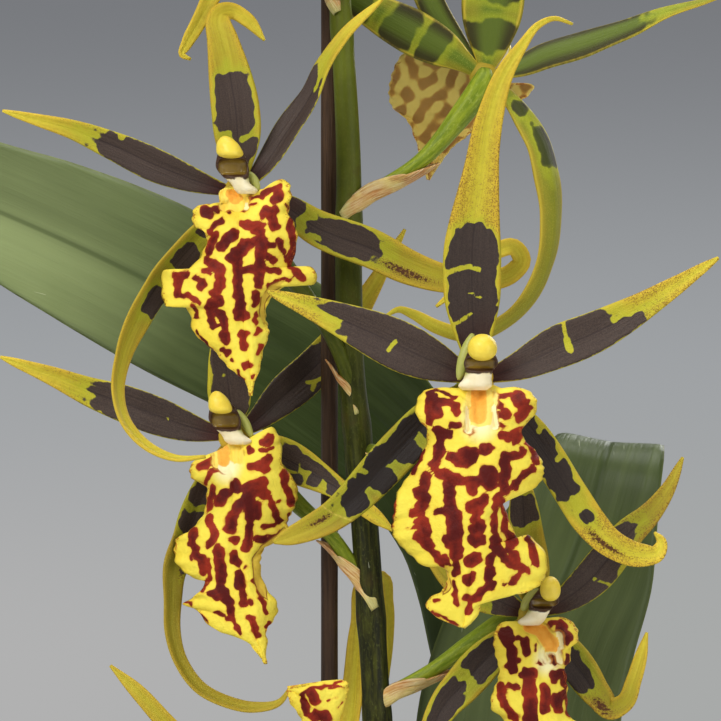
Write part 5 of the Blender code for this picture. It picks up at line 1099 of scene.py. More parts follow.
for number, (name, bloom) in enumerate(BLOOMS.items()):
    shells = [core_of(bloom["centre"], bloom["face"], (3.4, 2.0, 3.6))]
    blank = np.zeros(shells[0].shape[:2])
    fields = dict(side=blank + 2, run=blank, dark=blank - 2, share=blank + .3, dots=blank, back=blank,
                  green=blank + GREENNESS[name], inner=blank, painted_shade=blank, crease_highlight=blank - 3, patch_shade=blank)
    fields = {key: [value] for key, value in fields.items()}
    outlines = dict(dorsal=DORSAL_OUTLINE, petal_left=PETAL_OUTLINE, petal_right=PETAL_OUTLINE,
                    sepal_left=SEPAL_OUTLINE, sepal_right=SEPAL_OUTLINE)
    for order, (part, outline) in enumerate(outlines.items()):
        tepal = name, part
        half_width, roll, points = bloom[part]
        line = smooth_line(points, 100, TEPAL_START) + np.array(bloom["centre"])
        outline = OUTLINES.get(tepal, outline)
        grid, width, run, u = blade(line, half_width, outline, [bloom["face"]] * 2, roll, TEPAL_KEEL, 21, .13,
                                    number * 5 + order)
        run = run[:, None] + TEPAL_START
        patches = MARKS[name][part]
        flat = np.stack(np.broadcast_arrays(run, u * half_width), -1)
        shift = rumple(flat, (6, 8, 11), 9 * number + order)
        deep = patch_depth(run + .4 * shift, u + .05 * shift, half_width, patches)
        lobes = np.abs(np.sin(flat / (1.12, 1.0) + (order, number))).sum(-1)
        deep = deep + .3 * (lobes - 1.3) + .16 * rumple(flat, (2.9, 3.7, 5.1), 7 * number + order)
        deep = np.minimum(deep, (1 - np.abs(u)) * width[:, None] - .13)
        deep = np.minimum(deep, -stroke_depth(flat, in_mm(FLECKS.get(tepal, []), half_width)))
        share = run / run[-1] + 0 * u
        past = run - max([end for _, end, _, _ in patches], default=20)
        dots = np.clip(past / 3 + 1, 0, 1) * np.exp(-(np.clip(past, 0, 90) / 24) ** 2)
        dots = dots * (.2 + .8 * np.abs(u) ** 1.3)
        dots = np.minimum(dots * SPECKLES.get(tepal, SPECKLES.get(name, .2)), .75)
        if tepal in CLUSTERS:
            along, across, long, wide = CLUSTERS[tepal]
            dots = dots + 1.3 * np.exp(-((run - along) / long) ** 2 - ((u - across) / wide) ** 2)
        shells.append(leafy(grid, TEPAL_THICKNESS))
        blank = 0 * share
        values = dict(side=width[:, None] * u, run=run + blank, inner=1 - np.abs(u) + blank, dark=deep,
                      share=share, dots=dots, green=GREENNESS.get(tepal, GREENNESS[name]) + blank,
                      crease_highlight=stroke_depth(flat, in_mm(CREASE_HIGHLIGHTS.get(tepal, []), half_width)),
                      painted_shade=SHADED_TEPALS.get(tepal, 0) + blank, patch_shade=SHADED_PATCHES.get(tepal, 0) + blank)
        for key, value in values.items():
            fields[key].append(both_sides(value))
        fields["back"].append(under_side(grid) * BACK_SHARE.get(tepal, 1))
    settle(skin(f"{name}_petals", shells, tepal_gold, fields), "tepal", f"{name}_tepals")

# Lips: the broad ruffled lower petal of each bloom, soft yellow with dark red markings and a paler rim.
# It hangs from the foot of the column, with raised ridges in its throat, orange between two cream ones.
LIP_THICKNESS = 0.8
# The left and right edge of a lip from the throat to the tip, (right, up) in mm from the bloom's centre, as
# the camera sees them on the plane that lies this far in front of the centre.
LIP_PLANE = 8.0
EYE_AWAY, EYE_LEVEL = 800.0, 400.0
LIP_EDGES = {
    "bloom_3": ([(-2.6, .9), (-3.9, .1), (-4, -2.6), (-6.8, -2.9), (-8.9, -3.3), (-9.9, -5.3), (-9.5, -7.7),
        (-8, -8.5), (-6.8, -9.8), (-7.4, -13), (-8.9, -15.4), (-10.9, -17.3), (-13.7, -17.5),
        (-16.6, -17.7), (-16.8, -19.5), (-16.6, -23.6), (-16, -25.4), (-13.7, -25.6), (-11.5, -25.6),
        (-10.5, -27.6), (-9.9, -30.9), (-7.2, -33.7), (-4.8, -35.8), (-2, -39), (-.1, -40.6), (1.7, -41.9),
        (3, -45.3)],
        [(1.6, .9), (3.2, 0), (5, -.4), (7, .8), (8.6, 2.4), (10, 2.8), (11.5, 2), (12.1, -.4),
        (11.7, -5.3), (12.7, -6.9), (13.5, -9.8), (13.1, -13), (12.3, -16.9), (16.8, -16.9), (18, -18.6),
        (17, -20.7), (14.7, -20.3), (11.9, -20.5), (9.4, -22), (7, -24.8), (6.4, -27.6), (7.2, -31.5),
        (5.8, -35.4), (5, -39.8), (3.7, -42.7), (3.2, -45.3)]),
    "bloom_4": ([(-3, -1), (-5, -1.7), (-9, -1.6), (-12.5, -2.5), (-14, -5.2), (-13.5, -8.5), (-12, -10),
        (-11.5, -12.8), (-13, -16.5), (-15.6, -20.7), (-18.1, -24.7), (-18.9, -29.5), (-19.1, -33.3),
        (-17.4, -35.9), (-14.3, -38.8), (-12.1, -40.5), (-9.3, -40.4), (-7.3, -41.6), (-7.3, -44),
        (-8.8, -46.2), (-11, -47.3), (-11.7, -49.3), (-11, -50.3), (-4.6, -53.5)],
        [(3, -1), (4.8, -1.7), (8.1, -1.5), (11.2, -2.7), (12.5, -5.4), (11.7, -7.8), (9.6, -10),
        (9, -11.5), (10.4, -13.7), (12.6, -15.9), (13.9, -19.4), (13.7, -21.4), (10.8, -24), (7.3, -25.1),
        (5.4, -26), (6.4, -30.4), (9, -34.7), (10.1, -33.7), (12.6, -35.5), (14.3, -37.9), (14.6, -41),
        (13.9, -43.6), (10.8, -45.8), (8.1, -45.9), (5.9, -44.9), (.2, -47.8), (0, -49.8), (-1.5, -52.4),
        (-3.5, -53.6)]),
    "bloom_5": ([(-3.6, -4.5), (-5.8, -4.7), (-8.3, -5.3), (-9.5, -7.2), (-9, -9.2), (-7.2, -10.4),
        (-5.8, -11.3), (-5.8, -13.9), (-6, -16.4), (-7.5, -19), (-10, -21.5), (-12.4, -22.8),
        (-13.1, -25.4), (-12.8, -27.9), (-10.9, -30.3), (-7.9, -32.2), (-6, -32.6), (-7.5, -35),
        (-9.6, -36.7), (-11.1, -37.7), (-7.9, -39), (-5.8, -41.8), (-3.2, -43.7), (-.4, -44.6),
        (2.8, -45.6), (5.3, -48), (7.6, -51.2)],
        [(4.9, -1.3), (7.5, .9), (9, 2.3), (10, 1.3), (11.1, -1.5), (11.3, -4.5), (11.7, -6.6),
        (13.9, -9.2), (14.9, -13.2), (13.9, -16.4), (12.6, -19), (12.6, -21.1), (11.3, -23), (7.9, -24.1),
        (6.6, -27.1), (6.6, -30.9), (8.3, -34.8), (10, -36.9), (10.4, -39), (9.2, -41.6), (7.7, -43.7),
        (8, -46.3), (7.5, -48.4), (7.9, -51.2)]),
    "bloom_6": ([(-3, -1.5), (-7.5, -1.3), (-8.7, -2.8), (-9.1, -5.3), (-8.6, -8.5), (-7.8, -11.7),
        (-8.1, -14), (-9.4, -17.2), (-9.6, -20.4), (-6.8, -22.9), (-7.5, -27), (-10, -31.5), (-7.5, -37),
        (-3, -41), (-3, -45.5), (0, -50)],
        [(3.4, -.5), (6, .1), (8.5, -.9), (9.9, -3.1), (9.7, -5), (8.2, -6.9), (8.2, -9.8), (7.1, -11.1),
        (7.4, -14), (7.6, -17.2), (7.9, -22), (12, -24.5), (15, -29.5), (9.5, -34), (5, -39), (3.5, -44.5),
        (1, -50)]),
}
# Red strokes on a lip: a radius, then (right, up) of each point, on the plane of the edges above.
STROKES = {
    "bloom_7": [(.75, -12.3, 25.6, -11.8, 23.6, -11.4, 21.8), (1.2, -10.3, 26.2, -9.7, 24.8),
        (1.5, -9.4, 21.4, -7.6, 21), (.35, -13, 25.6, -10.8, 27.2, -8.2, 27.4, -5.6, 28, -3.4, 28.8),
        (.3, -6.4, 27.2, -4.6, 27.6, -3.2, 27.4), (.3, -7, 24.6, -5.2, 25.2), (.3, -4.6, 22.8, -3.6, 24.2)],
    "bloom_4": [(.9, -10.9, -2.9, -11, -5, -10.9, -7.2, -10.8, -8.9),
        (1.3, -10.2, -4.2, -9.6, -5.5, -9.2, -7), (.9, -8.5, -4.6, -6.5, -5.4, -5, -5.9), (1.1, -5.3, -6.8),
        (.45, -9.3, -2.3, -7.5, -3.3, -5.6, -4), (.6, -6.2, -9.7, -4.5, -9.7),
        (.3, -3.1, -11.2, -2.3, -11.8, -1.6, -11.2), (1, -9.5, -10.8, -6.8, -11.7), (1.1, -8.3, -12.3),
        (.8, -8.5, -13.2, -8.8, -15.5, -9.6, -17.5, -10.2, -18.3, -9.2, -19.8, -8, -20.3),
        (1.2, -8.6, -15, -9.3, -17.3), (1.2, -6.3, -16.6, -4.9, -17.4), (1.8, -3, -16, -1.8, -16.3),
        (1.1, -4.6, -18, -2.5, -17.9), (1.2, .8, -15.3, 1.8, -14.9),
        (.9, 4.9, -16.4, 7, -16.6, 8.6, -16.4, 9, -15.4), (1.3, 5.2, -17.3, 5.4, -19.5, 5.2, -21),
        (1, 5, -22, 5.4, -24), (.8, 10.5, -13.5, 11.3, -15.5, 12.1, -17.6),
        (.9, 11.2, -19.2, 9.6, -20.3, 8.3, -21.5, 7.3, -23),
        (1.1, 4.6, -12, 6.2, -12.2, 7.6, -12, 8.4, -11.3), (.9, 7.6, -13.4, 8, -12.5),
        (1.5, 8.2, -3.9, 9.2, -5.2), (1.2, 9.5, -6.2, 8.6, -7.8), (.6, 3.6, -3.8, 5.5, -3.8, 7, -3.4),
        (.8, 3.9, -5.4, 5, -6.4, 5.8, -7.6), (.6, 3.8, -7.2, 4.4, -7.8, 6.2, -8), (.8, 8.3, -8.6),
        (.8, 10.6, -5.8), (.35, 4.4, -9.8, 5.8, -10), (.5, 9, -10.6, 8.9, -12), (1.9, 1.7, -20.2, 2, -22.2),
        (1.2, -8.5, -20.4, -6.5, -21, -4.2, -21.8, -2, -22, 0, -21.8), (.9, -7, -19.9),
        (1.1, -2, -23.2, -1.7, -24), (1.4, -6.6, -22.5, -6.6, -25, -6.2, -27.5, -6, -28.6),
        (.9, -9.3, -28.6, -7.8, -28.5, -6.2, -28.8), (1.7, -5.6, -29.5, -5.6, -32, -5.4, -34),
        (1.5, -5.2, -36, -5.2, -38), (.9, -5, -40, -5.2, -42), (.5, -5.4, -44, -5.3, -46), (.45, -5, -48),
        (.8, -7.4, -34.2, -6.8, -35.8), (1.3, 1, -26, -.5, -27, -2, -27.6), (1.3, -.7, -28.5, -.9, -30.2),
        (1.6, -.2, -31.5, -1.2, -32.5), (1.2, -1.6, -34.6, -.8, -35.2, .2, -34.8),
        (1.4, -2.1, -39.4, -1, -38.7), (1.3, -2.4, -43.2, -1.9, -42.8),
        (.9, -3, -47.2, -1.2, -47.6, .2, -46, 1.6, -44.8, 2.8, -44.2), (.8, -2.3, -48.5, -2.7, -50.2),
        (.7, 3.4, -25.2, 3.2, -27, 2.9, -29, 2.9, -31, 2.9, -33),
        (.7, 4.4, -25, 4.6, -27, 5.4, -28.8, 5.9, -30.5, 4.8, -32.2), (1.3, 3.2, -34.5, 3.4, -36.5),
        (1.2, 6, -33.5, 7.2, -35), (1.2, 7, -34.8, 6.4, -35.2), (.9, 5.9, -36.8, 7.4, -38.3, 7.9, -39),
        (1, 2.2, -38.2, 2, -39.6), (1.2, 2, -41.5, 1.8, -42.9),
        (1, 4.4, -37.5, 5.6, -39.2, 7.6, -40.3, 9, -41), (.7, 8.6, -41.8, 7.4, -43.2, 6.7, -44.2),
        (.6, 10.4, -41.5), (.9, 10.4, -34.5, 11.2, -36.5, 11.8, -38.5, 12.1, -39.8), (.45, 5, -44.1),
        (1.2, -11.8, -21, -11.8, -23), (1.4, -13, -24.5, -11.8, -25.5, -12.6, -27.6),
        (1, -14.5, -28.8, -12.5, -28.9), (1.6, -12.4, -31, -12, -33), (1.3, -13.2, -33.6, -10.8, -36),
        (1, -10.4, -37.2, -9, -38.5, -8, -39.4), (.7, -7.5, -38.4, -6.8, -39.8),
        (.3, -15.8, -32.4, -13.8, -32), (.8, -12.5, -15, -13.3, -17, -14.2, -18.6, -14.7, -20),
        (.35, -18.4, -26, -18.9, -29, -19, -32), (.5, -9.6, -48, -8.8, -48.1),
        (.35, -10.5, -50.3, -7.5, -51.6, -4.8, -53.2), (.5, -5.4, -46.5, -5, -48.6)],
    "bloom_3": [(1.2, -7.2, -4.6, -6.2, -5.2), (.6, -7.2, -3.7, -4.5, -4.2), (.6, -1.8, -4.8),
        (.6, 1.9, -4.2), (.8, -3.4, -6.8, -5, -7.6, -6, -8.6), (.9, -4.8, -9.8, -5.6, -12, -6.2, -13.6),
        (1.1, -6.3, -15.5), (1.2, -5.2, -16.5, -3.8, -17.2), (1.2, -.6, -9.5, -2.2, -10.8, -3.3, -12.2),
        (1, 1.2, -7.4, 3.2, -7.6, 5.4, -7.6), (1.3, 4.4, -8.6, 5.4, -9), (1, 6.2, -4.6, 8.2, -4.2),
        (1.2, 7.6, -5.6, 8.4, -7.6), (.9, 5.8, -5.4), (.8, 6, -.6, 8, .4, 9.4, .9),
        (1.1, 9.2, .4, 9.4, -1.6), (.9, 9.4, -1.4, 8.2, -2.1), (.5, 3, -1.6, 5.6, -1.3),
        (.3, 3.2, -3, 4.6, -3.1), (.5, 11, -3, 11.3, -3.8),
        (.9, 11.7, -6.8, 12.2, -9.5, 12.6, -12, 12.4, -15),
        (.7, 9.4, -10.8, 10, -12.8, 10.8, -14.6, 11.8, -16.8), (1.6, 2, -12, .2, -13.8),
        (1.2, -1.4, -14.8, .5, -15.2), (1.1, 3.4, -11.6, 5, -10.2),
        (1.3, 5.4, -9.8, 5.6, -12, 5.2, -14, 5, -16.5), (.8, 6.4, -11.8, 8, -12),
        (.9, 6, -14.2, 8.2, -15.2), (1.2, .2, -15.5, .2, -17.5, .3, -19.5),
        (.9, .5, -17.6, 3, -17.4, 5.2, -17.2), (.7, 5.2, -17.2, 8, -17.7, 9.2, -17.8),
        (1.3, .3, -20, .4, -22.5, .8, -25, .6, -27.3), (1, .2, -27.8, 1.9, -27.7),
        (1.1, 5, -18.5, 4.8, -20.5), (.8, 4.3, -22.5, 3.9, -25), (.5, 3.9, -27, 4.1, -29.5),
        (.7, 4.4, -31.6, 4.9, -30.9), (.4, 6, -22.5, 7.2, -20.6, 9.2, -19.7, 12, -19.5),
        (.6, -7.4, -17.6, -5.8, -18), (1.2, -3.9, -17.5, -3.6, -19.5, -3.8, -21.5),
        (1, -5.2, -22.6, -4.2, -23.4, -3.4, -24.6), (1, -5.8, -24.6, -5, -25.2), (.7, -9, -19.4, -7.4, -20),
        (1, -8, -21.2, -7.2, -20.6), (1, -12.9, -19.4, -13, -21.8, -13.2, -22.8),
        (.8, -13.8, -18.6, -11.2, -18.4), (.6, -12.2, -23.2, -10.4, -23.2, -9.6, -23.8, -8.3, -24.4),
        (.5, -9.8, -25.2, -8.9, -26.8, -8.8, -27.8), (.9, -6.2, -25.6, -5.8, -27.6, -5.3, -29.5),
        (.9, -4.6, -26.6, -3.3, -27.2, -2.6, -29, -2.6, -30.4), (.5, -5.2, -30.2, -3.8, -29.8),
        (1.2, -2.8, -31.6, -2.4, -33), (.8, -2.8, -35, -1.9, -35.9), (.55, -1, -37.5),
        (1.2, 1.5, -31.8, 1.5, -33, 1.7, -34.2), (.8, 1.8, -38.6, 2.9, -38.4), (.5, 3.7, -41.1),
        (.5, 5.3, -34, 4.5, -36.2), (.3, 4.6, -38.8), (.9, 12.9, -17.8, 14.4, -19.2),
        (.35, -8.8, -31.3, -7, -33.5, -5.3, -35.5), (.4, 0, -39.8, 1.5, -41.8)],
    "bloom_5": [(1.2, -6.8, -6.6, -5.6, -6.4), (.7, -4.4, -5.4), (.5, -4.3, -7.4, -2.2, -7.9),
        (.6, -5, -8.4, -5.9, -10.4), (1.1, 8.6, -.3, 7.4, -1.4), (.35, 9.2, .6), (.45, 6.4, -3.4, 9, -2.9),
        (.9, 4.1, -3.2), (.9, 8.4, -4.8, 7, -6), (1, 4.2, -7, 6, -6.6, 7.6, -7.4),
        (1.4, .8, -10.6, 1.2, -11.4), (1.2, 3.4, -11.4, 5.4, -10.6, 7, -10),
        (1.3, 4.8, -12, 6.6, -12, 7.4, -13), (.9, 8.6, -14, 9.2, -16, 10, -18, 10.6, -19),
        (.6, 10.4, -14.6), (1.3, -1.4, -12.8, -2.6, -14.6), (.8, -3.8, -11.4, -4.6, -13.6, -5, -16),
        (.8, -5, -18, -4.6, -20, -3.6, -21.5), (.9, -3.6, -21.6, -4.2, -23, -5, -24.4),
        (1.6, .2, -18.6, -.2, -20.4), (1.3, 1, -16.2, 1.9, -15.2), (1.3, 3.6, -13, 3.9, -15.5, 4, -18),
        (1, 5.6, -15.4, 5.8, -17.8), (1, 4, -20, 3.8, -22.5, 3.5, -25), (.9, 5.5, -23.2, 7.5, -22.7),
        (1.1, .4, -23.3, 1, -23.2), (1.1, .4, -26.6, .8, -27.8, 1.3, -28.4),
        (.5, 6.6, -20.3, 8, -20, 9.3, -20.1), (.35, 8, -23, 9.4, -22), (.35, 9.3, -22.6, 10.6, -21),
        (.9, 11.6, -8, 11.8, -11, 12.8, -13, 13.2, -15), (.4, 12.8, -17.5, 12.6, -19.5),
        (1.1, -8.4, -21.5, -8.8, -24, -8, -25.5), (1.1, -7.8, -26.5, -6.4, -28, -6, -30.2), (.5, -9, -27.2),
        (.5, -5.2, -27.5, -4.9, -30, -5, -32, -6.6, -34.6),
        (1.3, -2.8, -25.6, -2.8, -28, -2.2, -30.4, -2.2, -32.4), (1.3, -2.6, -34.2, -1.6, -35.2),
        (.8, -4.6, -35.2, -3.2, -36.2), (1.2, -1.4, -36, -.6, -37.2), (.8, -.2, -38.6, 0, -40.2),
        (1.3, 1.9, -31.2, 2.1, -33.5), (1.1, 2.7, -35.4, 2.8, -37.4), (.8, 4.3, -37.2),
        (.5, -3.4, -39.4, -2, -39.9), (.6, -1, -41, .4, -41.2, 1.2, -42.6, 2.1, -44.2),
        (.8, 3.8, -40.6, 4.6, -41.2), (.9, 4.9, -42.2, 5.4, -44.6),
        (.6, 4.8, -32.4, 5.8, -34.6, 6.8, -37, 7.4, -39.6), (.5, 8.1, -41.9, 7.6, -42.9),
        (.35, -10.8, -37.4, -8.6, -37.3), (.4, -7, -40, -5.6, -41.8), (.3, 3.2, -29.4)],
    "bloom_6": [(1.5, -6.3, -3.4, -5.6, -5.4), (1.2, -4.8, -7, -4.8, -9, -4.6, -11.4),
        (.5, -3.8, -4.8, -2.2, -5.2), (1.1, -1.9, -5.6, -1.5, -7.8), (.6, -3.2, -9.6), (.7, -5.8, -11),
        (.7, 3.6, -1.8, 5, -1.2), (1.4, 6, -2, 6.4, -3.6, 7.2, -4.6), (.9, 6.6, -5.6, 8, -4.8),
        (.5, 5.4, -6.6, 6, -7.6), (.6, 7.6, -8.4, 7.4, -10), (.35, .8, -9.9, 1.7, -10.4),
        (.4, 3.9, -8.8, 4.8, -10.4), (.3, .3, -6.2, .3, -7.4), (1.2, -2, -12.6, -.2, -12.6),
        (1.5, -1, -14.6, -1, -16.5), (.7, -5.2, -15.3, -3.2, -15.7), (1.5, -.6, -18.5, -.8, -21, -.8, -24),
        (1, 4.2, -13, 6.4, -12.4), (.9, 6.8, -13.6, 6.8, -15), (.8, 4.2, -14.2),
        (1.1, 2.4, -15.8, 2.6, -18, 2.4, -20.6), (1.4, 5, -18, 5, -20.4), (.6, 6.6, -16.6, 6.8, -18),
        (.7, 7.4, -19, 7.8, -22), (1, -7.2, -15.4, -7, -18, -5.6, -20.6, -3.8, -22.6)],
}
# The raised callus in the throat, on the same plane: how orange a ridge is, its radius, height and ends.
CALLUS = {
    "bloom_1": [(1, 2.1, 1.2, .2, -3, .4, -7), (.3, 3.3, .8, .2, -4, .4, -7),
        (0, 1, 1.2, -2.2, -6.5, -2.4, -9.5), (0, 1, 1.2, 2.7, -6, 3, -9)],
    "bloom_2": [(1, 2, 1.2, -2, 0, -3, -3)],
    "bloom_3": [(1, 1.7, 1.5, -.9, -.7, -.5, -1.3), (.35, 1.25, 1.5, -2.7, 0, -2.9, -.5),
        (.3, 1.2, 1.5, -2.8, -3, -2.6, -3.6), (.35, 1.2, 1.5, 1.6, -1.4, 1.9, -2),
        (.4, 1, 1.3, 2.6, -.3, 3.2, -.1), (.3, 2.2, .9, -.6, -2.2, .2, -2.6),
        (0, .9, 1.2, 2, -3, 2.1, -3.6)],
    "bloom_4": [(1, 2.0, 1.5, -.3, -2.4, -.2, -8), (.25, 3.2, 1, 0, -3.6, 0, -7.2),
        (0, .95, 1.5, -2.6, -6.5, -2.4, -11), (0, 1.05, 1.5, 2.8, -6, 3.1, -9.9),
        (.2, .8, 1.3, 3, -3, 3.2, -5.4)],
    "bloom_5": [(1, 1.4, 1.5, -1.9, -2.6, -1.8, -5.7), (.25, 1.1, 1.3, -3.7, -3.2, -3.4, -6.4),
        (.3, 1.1, 1.4, .3, -2.2, .3, -5.4), (.3, .9, 1.4, 1.9, -2.4, 1.8, -5.6),
        (0, 1.6, .8, -1.6, -6.8, -.6, -7)],
    "bloom_6": [(1, 1.8, 1.4, -1, -2.1, 1.6, -3.2), (1, 1.9, 1.5, 1.6, -3.2, 3.9, -6.3),
        (0, .8, 1.2, 2.4, -7.8, 3, -9.6), (0, .9, 1.2, 5.2, -7, 5.6, -9.6), (.1, 1, 1.1, 5.6, -4, 6, -6)],
    "bloom_7": [(1, 1.9, 1.4, -.6, 3, -1.6, 5), (0, .9, 1.2, -2.4, 3, -3.6, 5.2),
        (0, .9, 1.2, 1.2, 4, 0, 6.4)],
}
# how faint a lip's markings are on its upper side, and how much fainter on its lower side, where that isn't 0
# and 0.3; the faint colours are paler, partly as painted light shining through the lip
FAINT_AND_BACKLIT_SHARES = {"bloom_2": (.85, 0), "bloom_7": (0, 0)}
# margins that curl over: half the width of the curl, then the points along it. The curl is painted darker amber,
# with brown lines along its edges, as shade
CURLS = {
    "bloom_3": [(.8, 11.4, -19.5, 7.6, -21.3, 5.8, -23.6, 5.4, -26.7, 6, -30.5)],
    "bloom_4": [(.45, 5.8, -26, 7.5, -31.6, 9.7, -34.9),
        (.7, -10.5, -40.6, -7.2, -42, -6.5, -44.8, -8.5, -47.6)],
    "bloom_5": [(1.2, 12.4, -18.6, 11, -22.3, 7, -25.2, 5.4, -27.7, 5.8, -32.3, 7.2, -35.9, 8.8, -37.9)],
}
# the pale patch below the callus: its middle (right, up) and its half-sizes
CREAM = {
    "bloom_3": (0, -2, 3.2, 2.4),
    "bloom_4": (0, -8.5, 4.6, 5.5),
    "bloom_5": (-1, -6.5, 3.6, 4.6),
    "bloom_6": (3, -9.5, 3.4, 4),
}

lip_yellow, shade, shader = finish_of("soft lip", Specular_IOR_Level=.14)
mark, ridge, tone, rim, plain = carried(shade, "mark", "ridge", "tone", "rim", "plain")
cream, freckle, curl, buff = carried(shade, "cream", "freckle", "curl", "buff")
spot = object_place(shade)
soft = grain(shade, spot, 110, 3, .5)
ripples = grain(shade, spot, 480, 1, .5)
fine = grain(shade, spot, 1500, 3, .65)
yellow = tint(soft * .8 + fine * .3, screen(228, 196, 44), screen(252, 236, 92))
# painted shade: the yellow is darkened to gold toward the margins
yellow = tint(ease(rim + soft * 1.2, 2.6, .6) * .4, yellow, screen(214, 176, 44))
yellow = tint(ease(cream, -.2, .7), yellow, screen(252, 242, 182))
# faint markings and painted backlight: where the lip is faint the yellow turns softer and, below, the red turns
# tan
yellow = tint(plain, yellow, screen(238, 210, 116))
edge = mark + (ripples - .5) * .75 + (fine - .5) * .12
red = tint(ease(soft * 1.8 - mark * .25 + fine * .4, .7, 1.45), screen(82, 17, 12), screen(154, 46, 24))
red = tint(plain, red, tint(soft, screen(150, 102, 48), screen(206, 164, 88)))
yellow = tint(ease(edge, -.45, .05) * .45, yellow, screen(222, 140, 36))
mask = ease(edge, -.1, .1)
flesh = tint(mask + plain * (ease(edge, -.7, .5) - mask), yellow, red)
freckles = ease(fine + freckle * .12, .58, .68) * ease(freckle, .05, .5)
flesh = tint(freckles * .75, flesh, screen(172, 84, 30))
# painted shade on the curls: the curled margin is darkened to amber, with brown lines painted along the edges of
# the fold
fold = curl + (soft - .5) * .8
shaded_amber = tint(soft * .7 + fine * .4, screen(196, 150, 40), screen(236, 202, 78))
flesh = tint(ease(fold, -.1, .3) * .85, flesh, shaded_amber)
flesh = tint(ease(abs(fold - .1), .22, .06) * ease(ripples, .3, .5) * .8, flesh, screen(128, 60, 24))
orange = tint(soft * .6 + fine * .6, screen(244, 146, 36), screen(254, 200, 90))
pale = tint(ease(buff, .05, .3), screen(252, 238, 182), screen(250, 220, 96))
foot = ease(ridge + (ripples - .5) * .6, -.35, -.1) * ease(ridge, .2, -.1)
flesh = tint(ease(edge, -1, .2) * foot, flesh, screen(176, 104, 40))
flesh = tint(ease(ridge + (ripples - .5) * .7, -.12, .12), flesh, pale)
flesh = tint(ease(tone + (ripples - .5) * .5 + (fine - .5) * .4, .55, .85), flesh, orange)
feed(shader, "Base Color", flesh)
feed(shader, "Roughness", .46 + fine * .2)
relief(shader, fine * .6 + ripples, .00035)
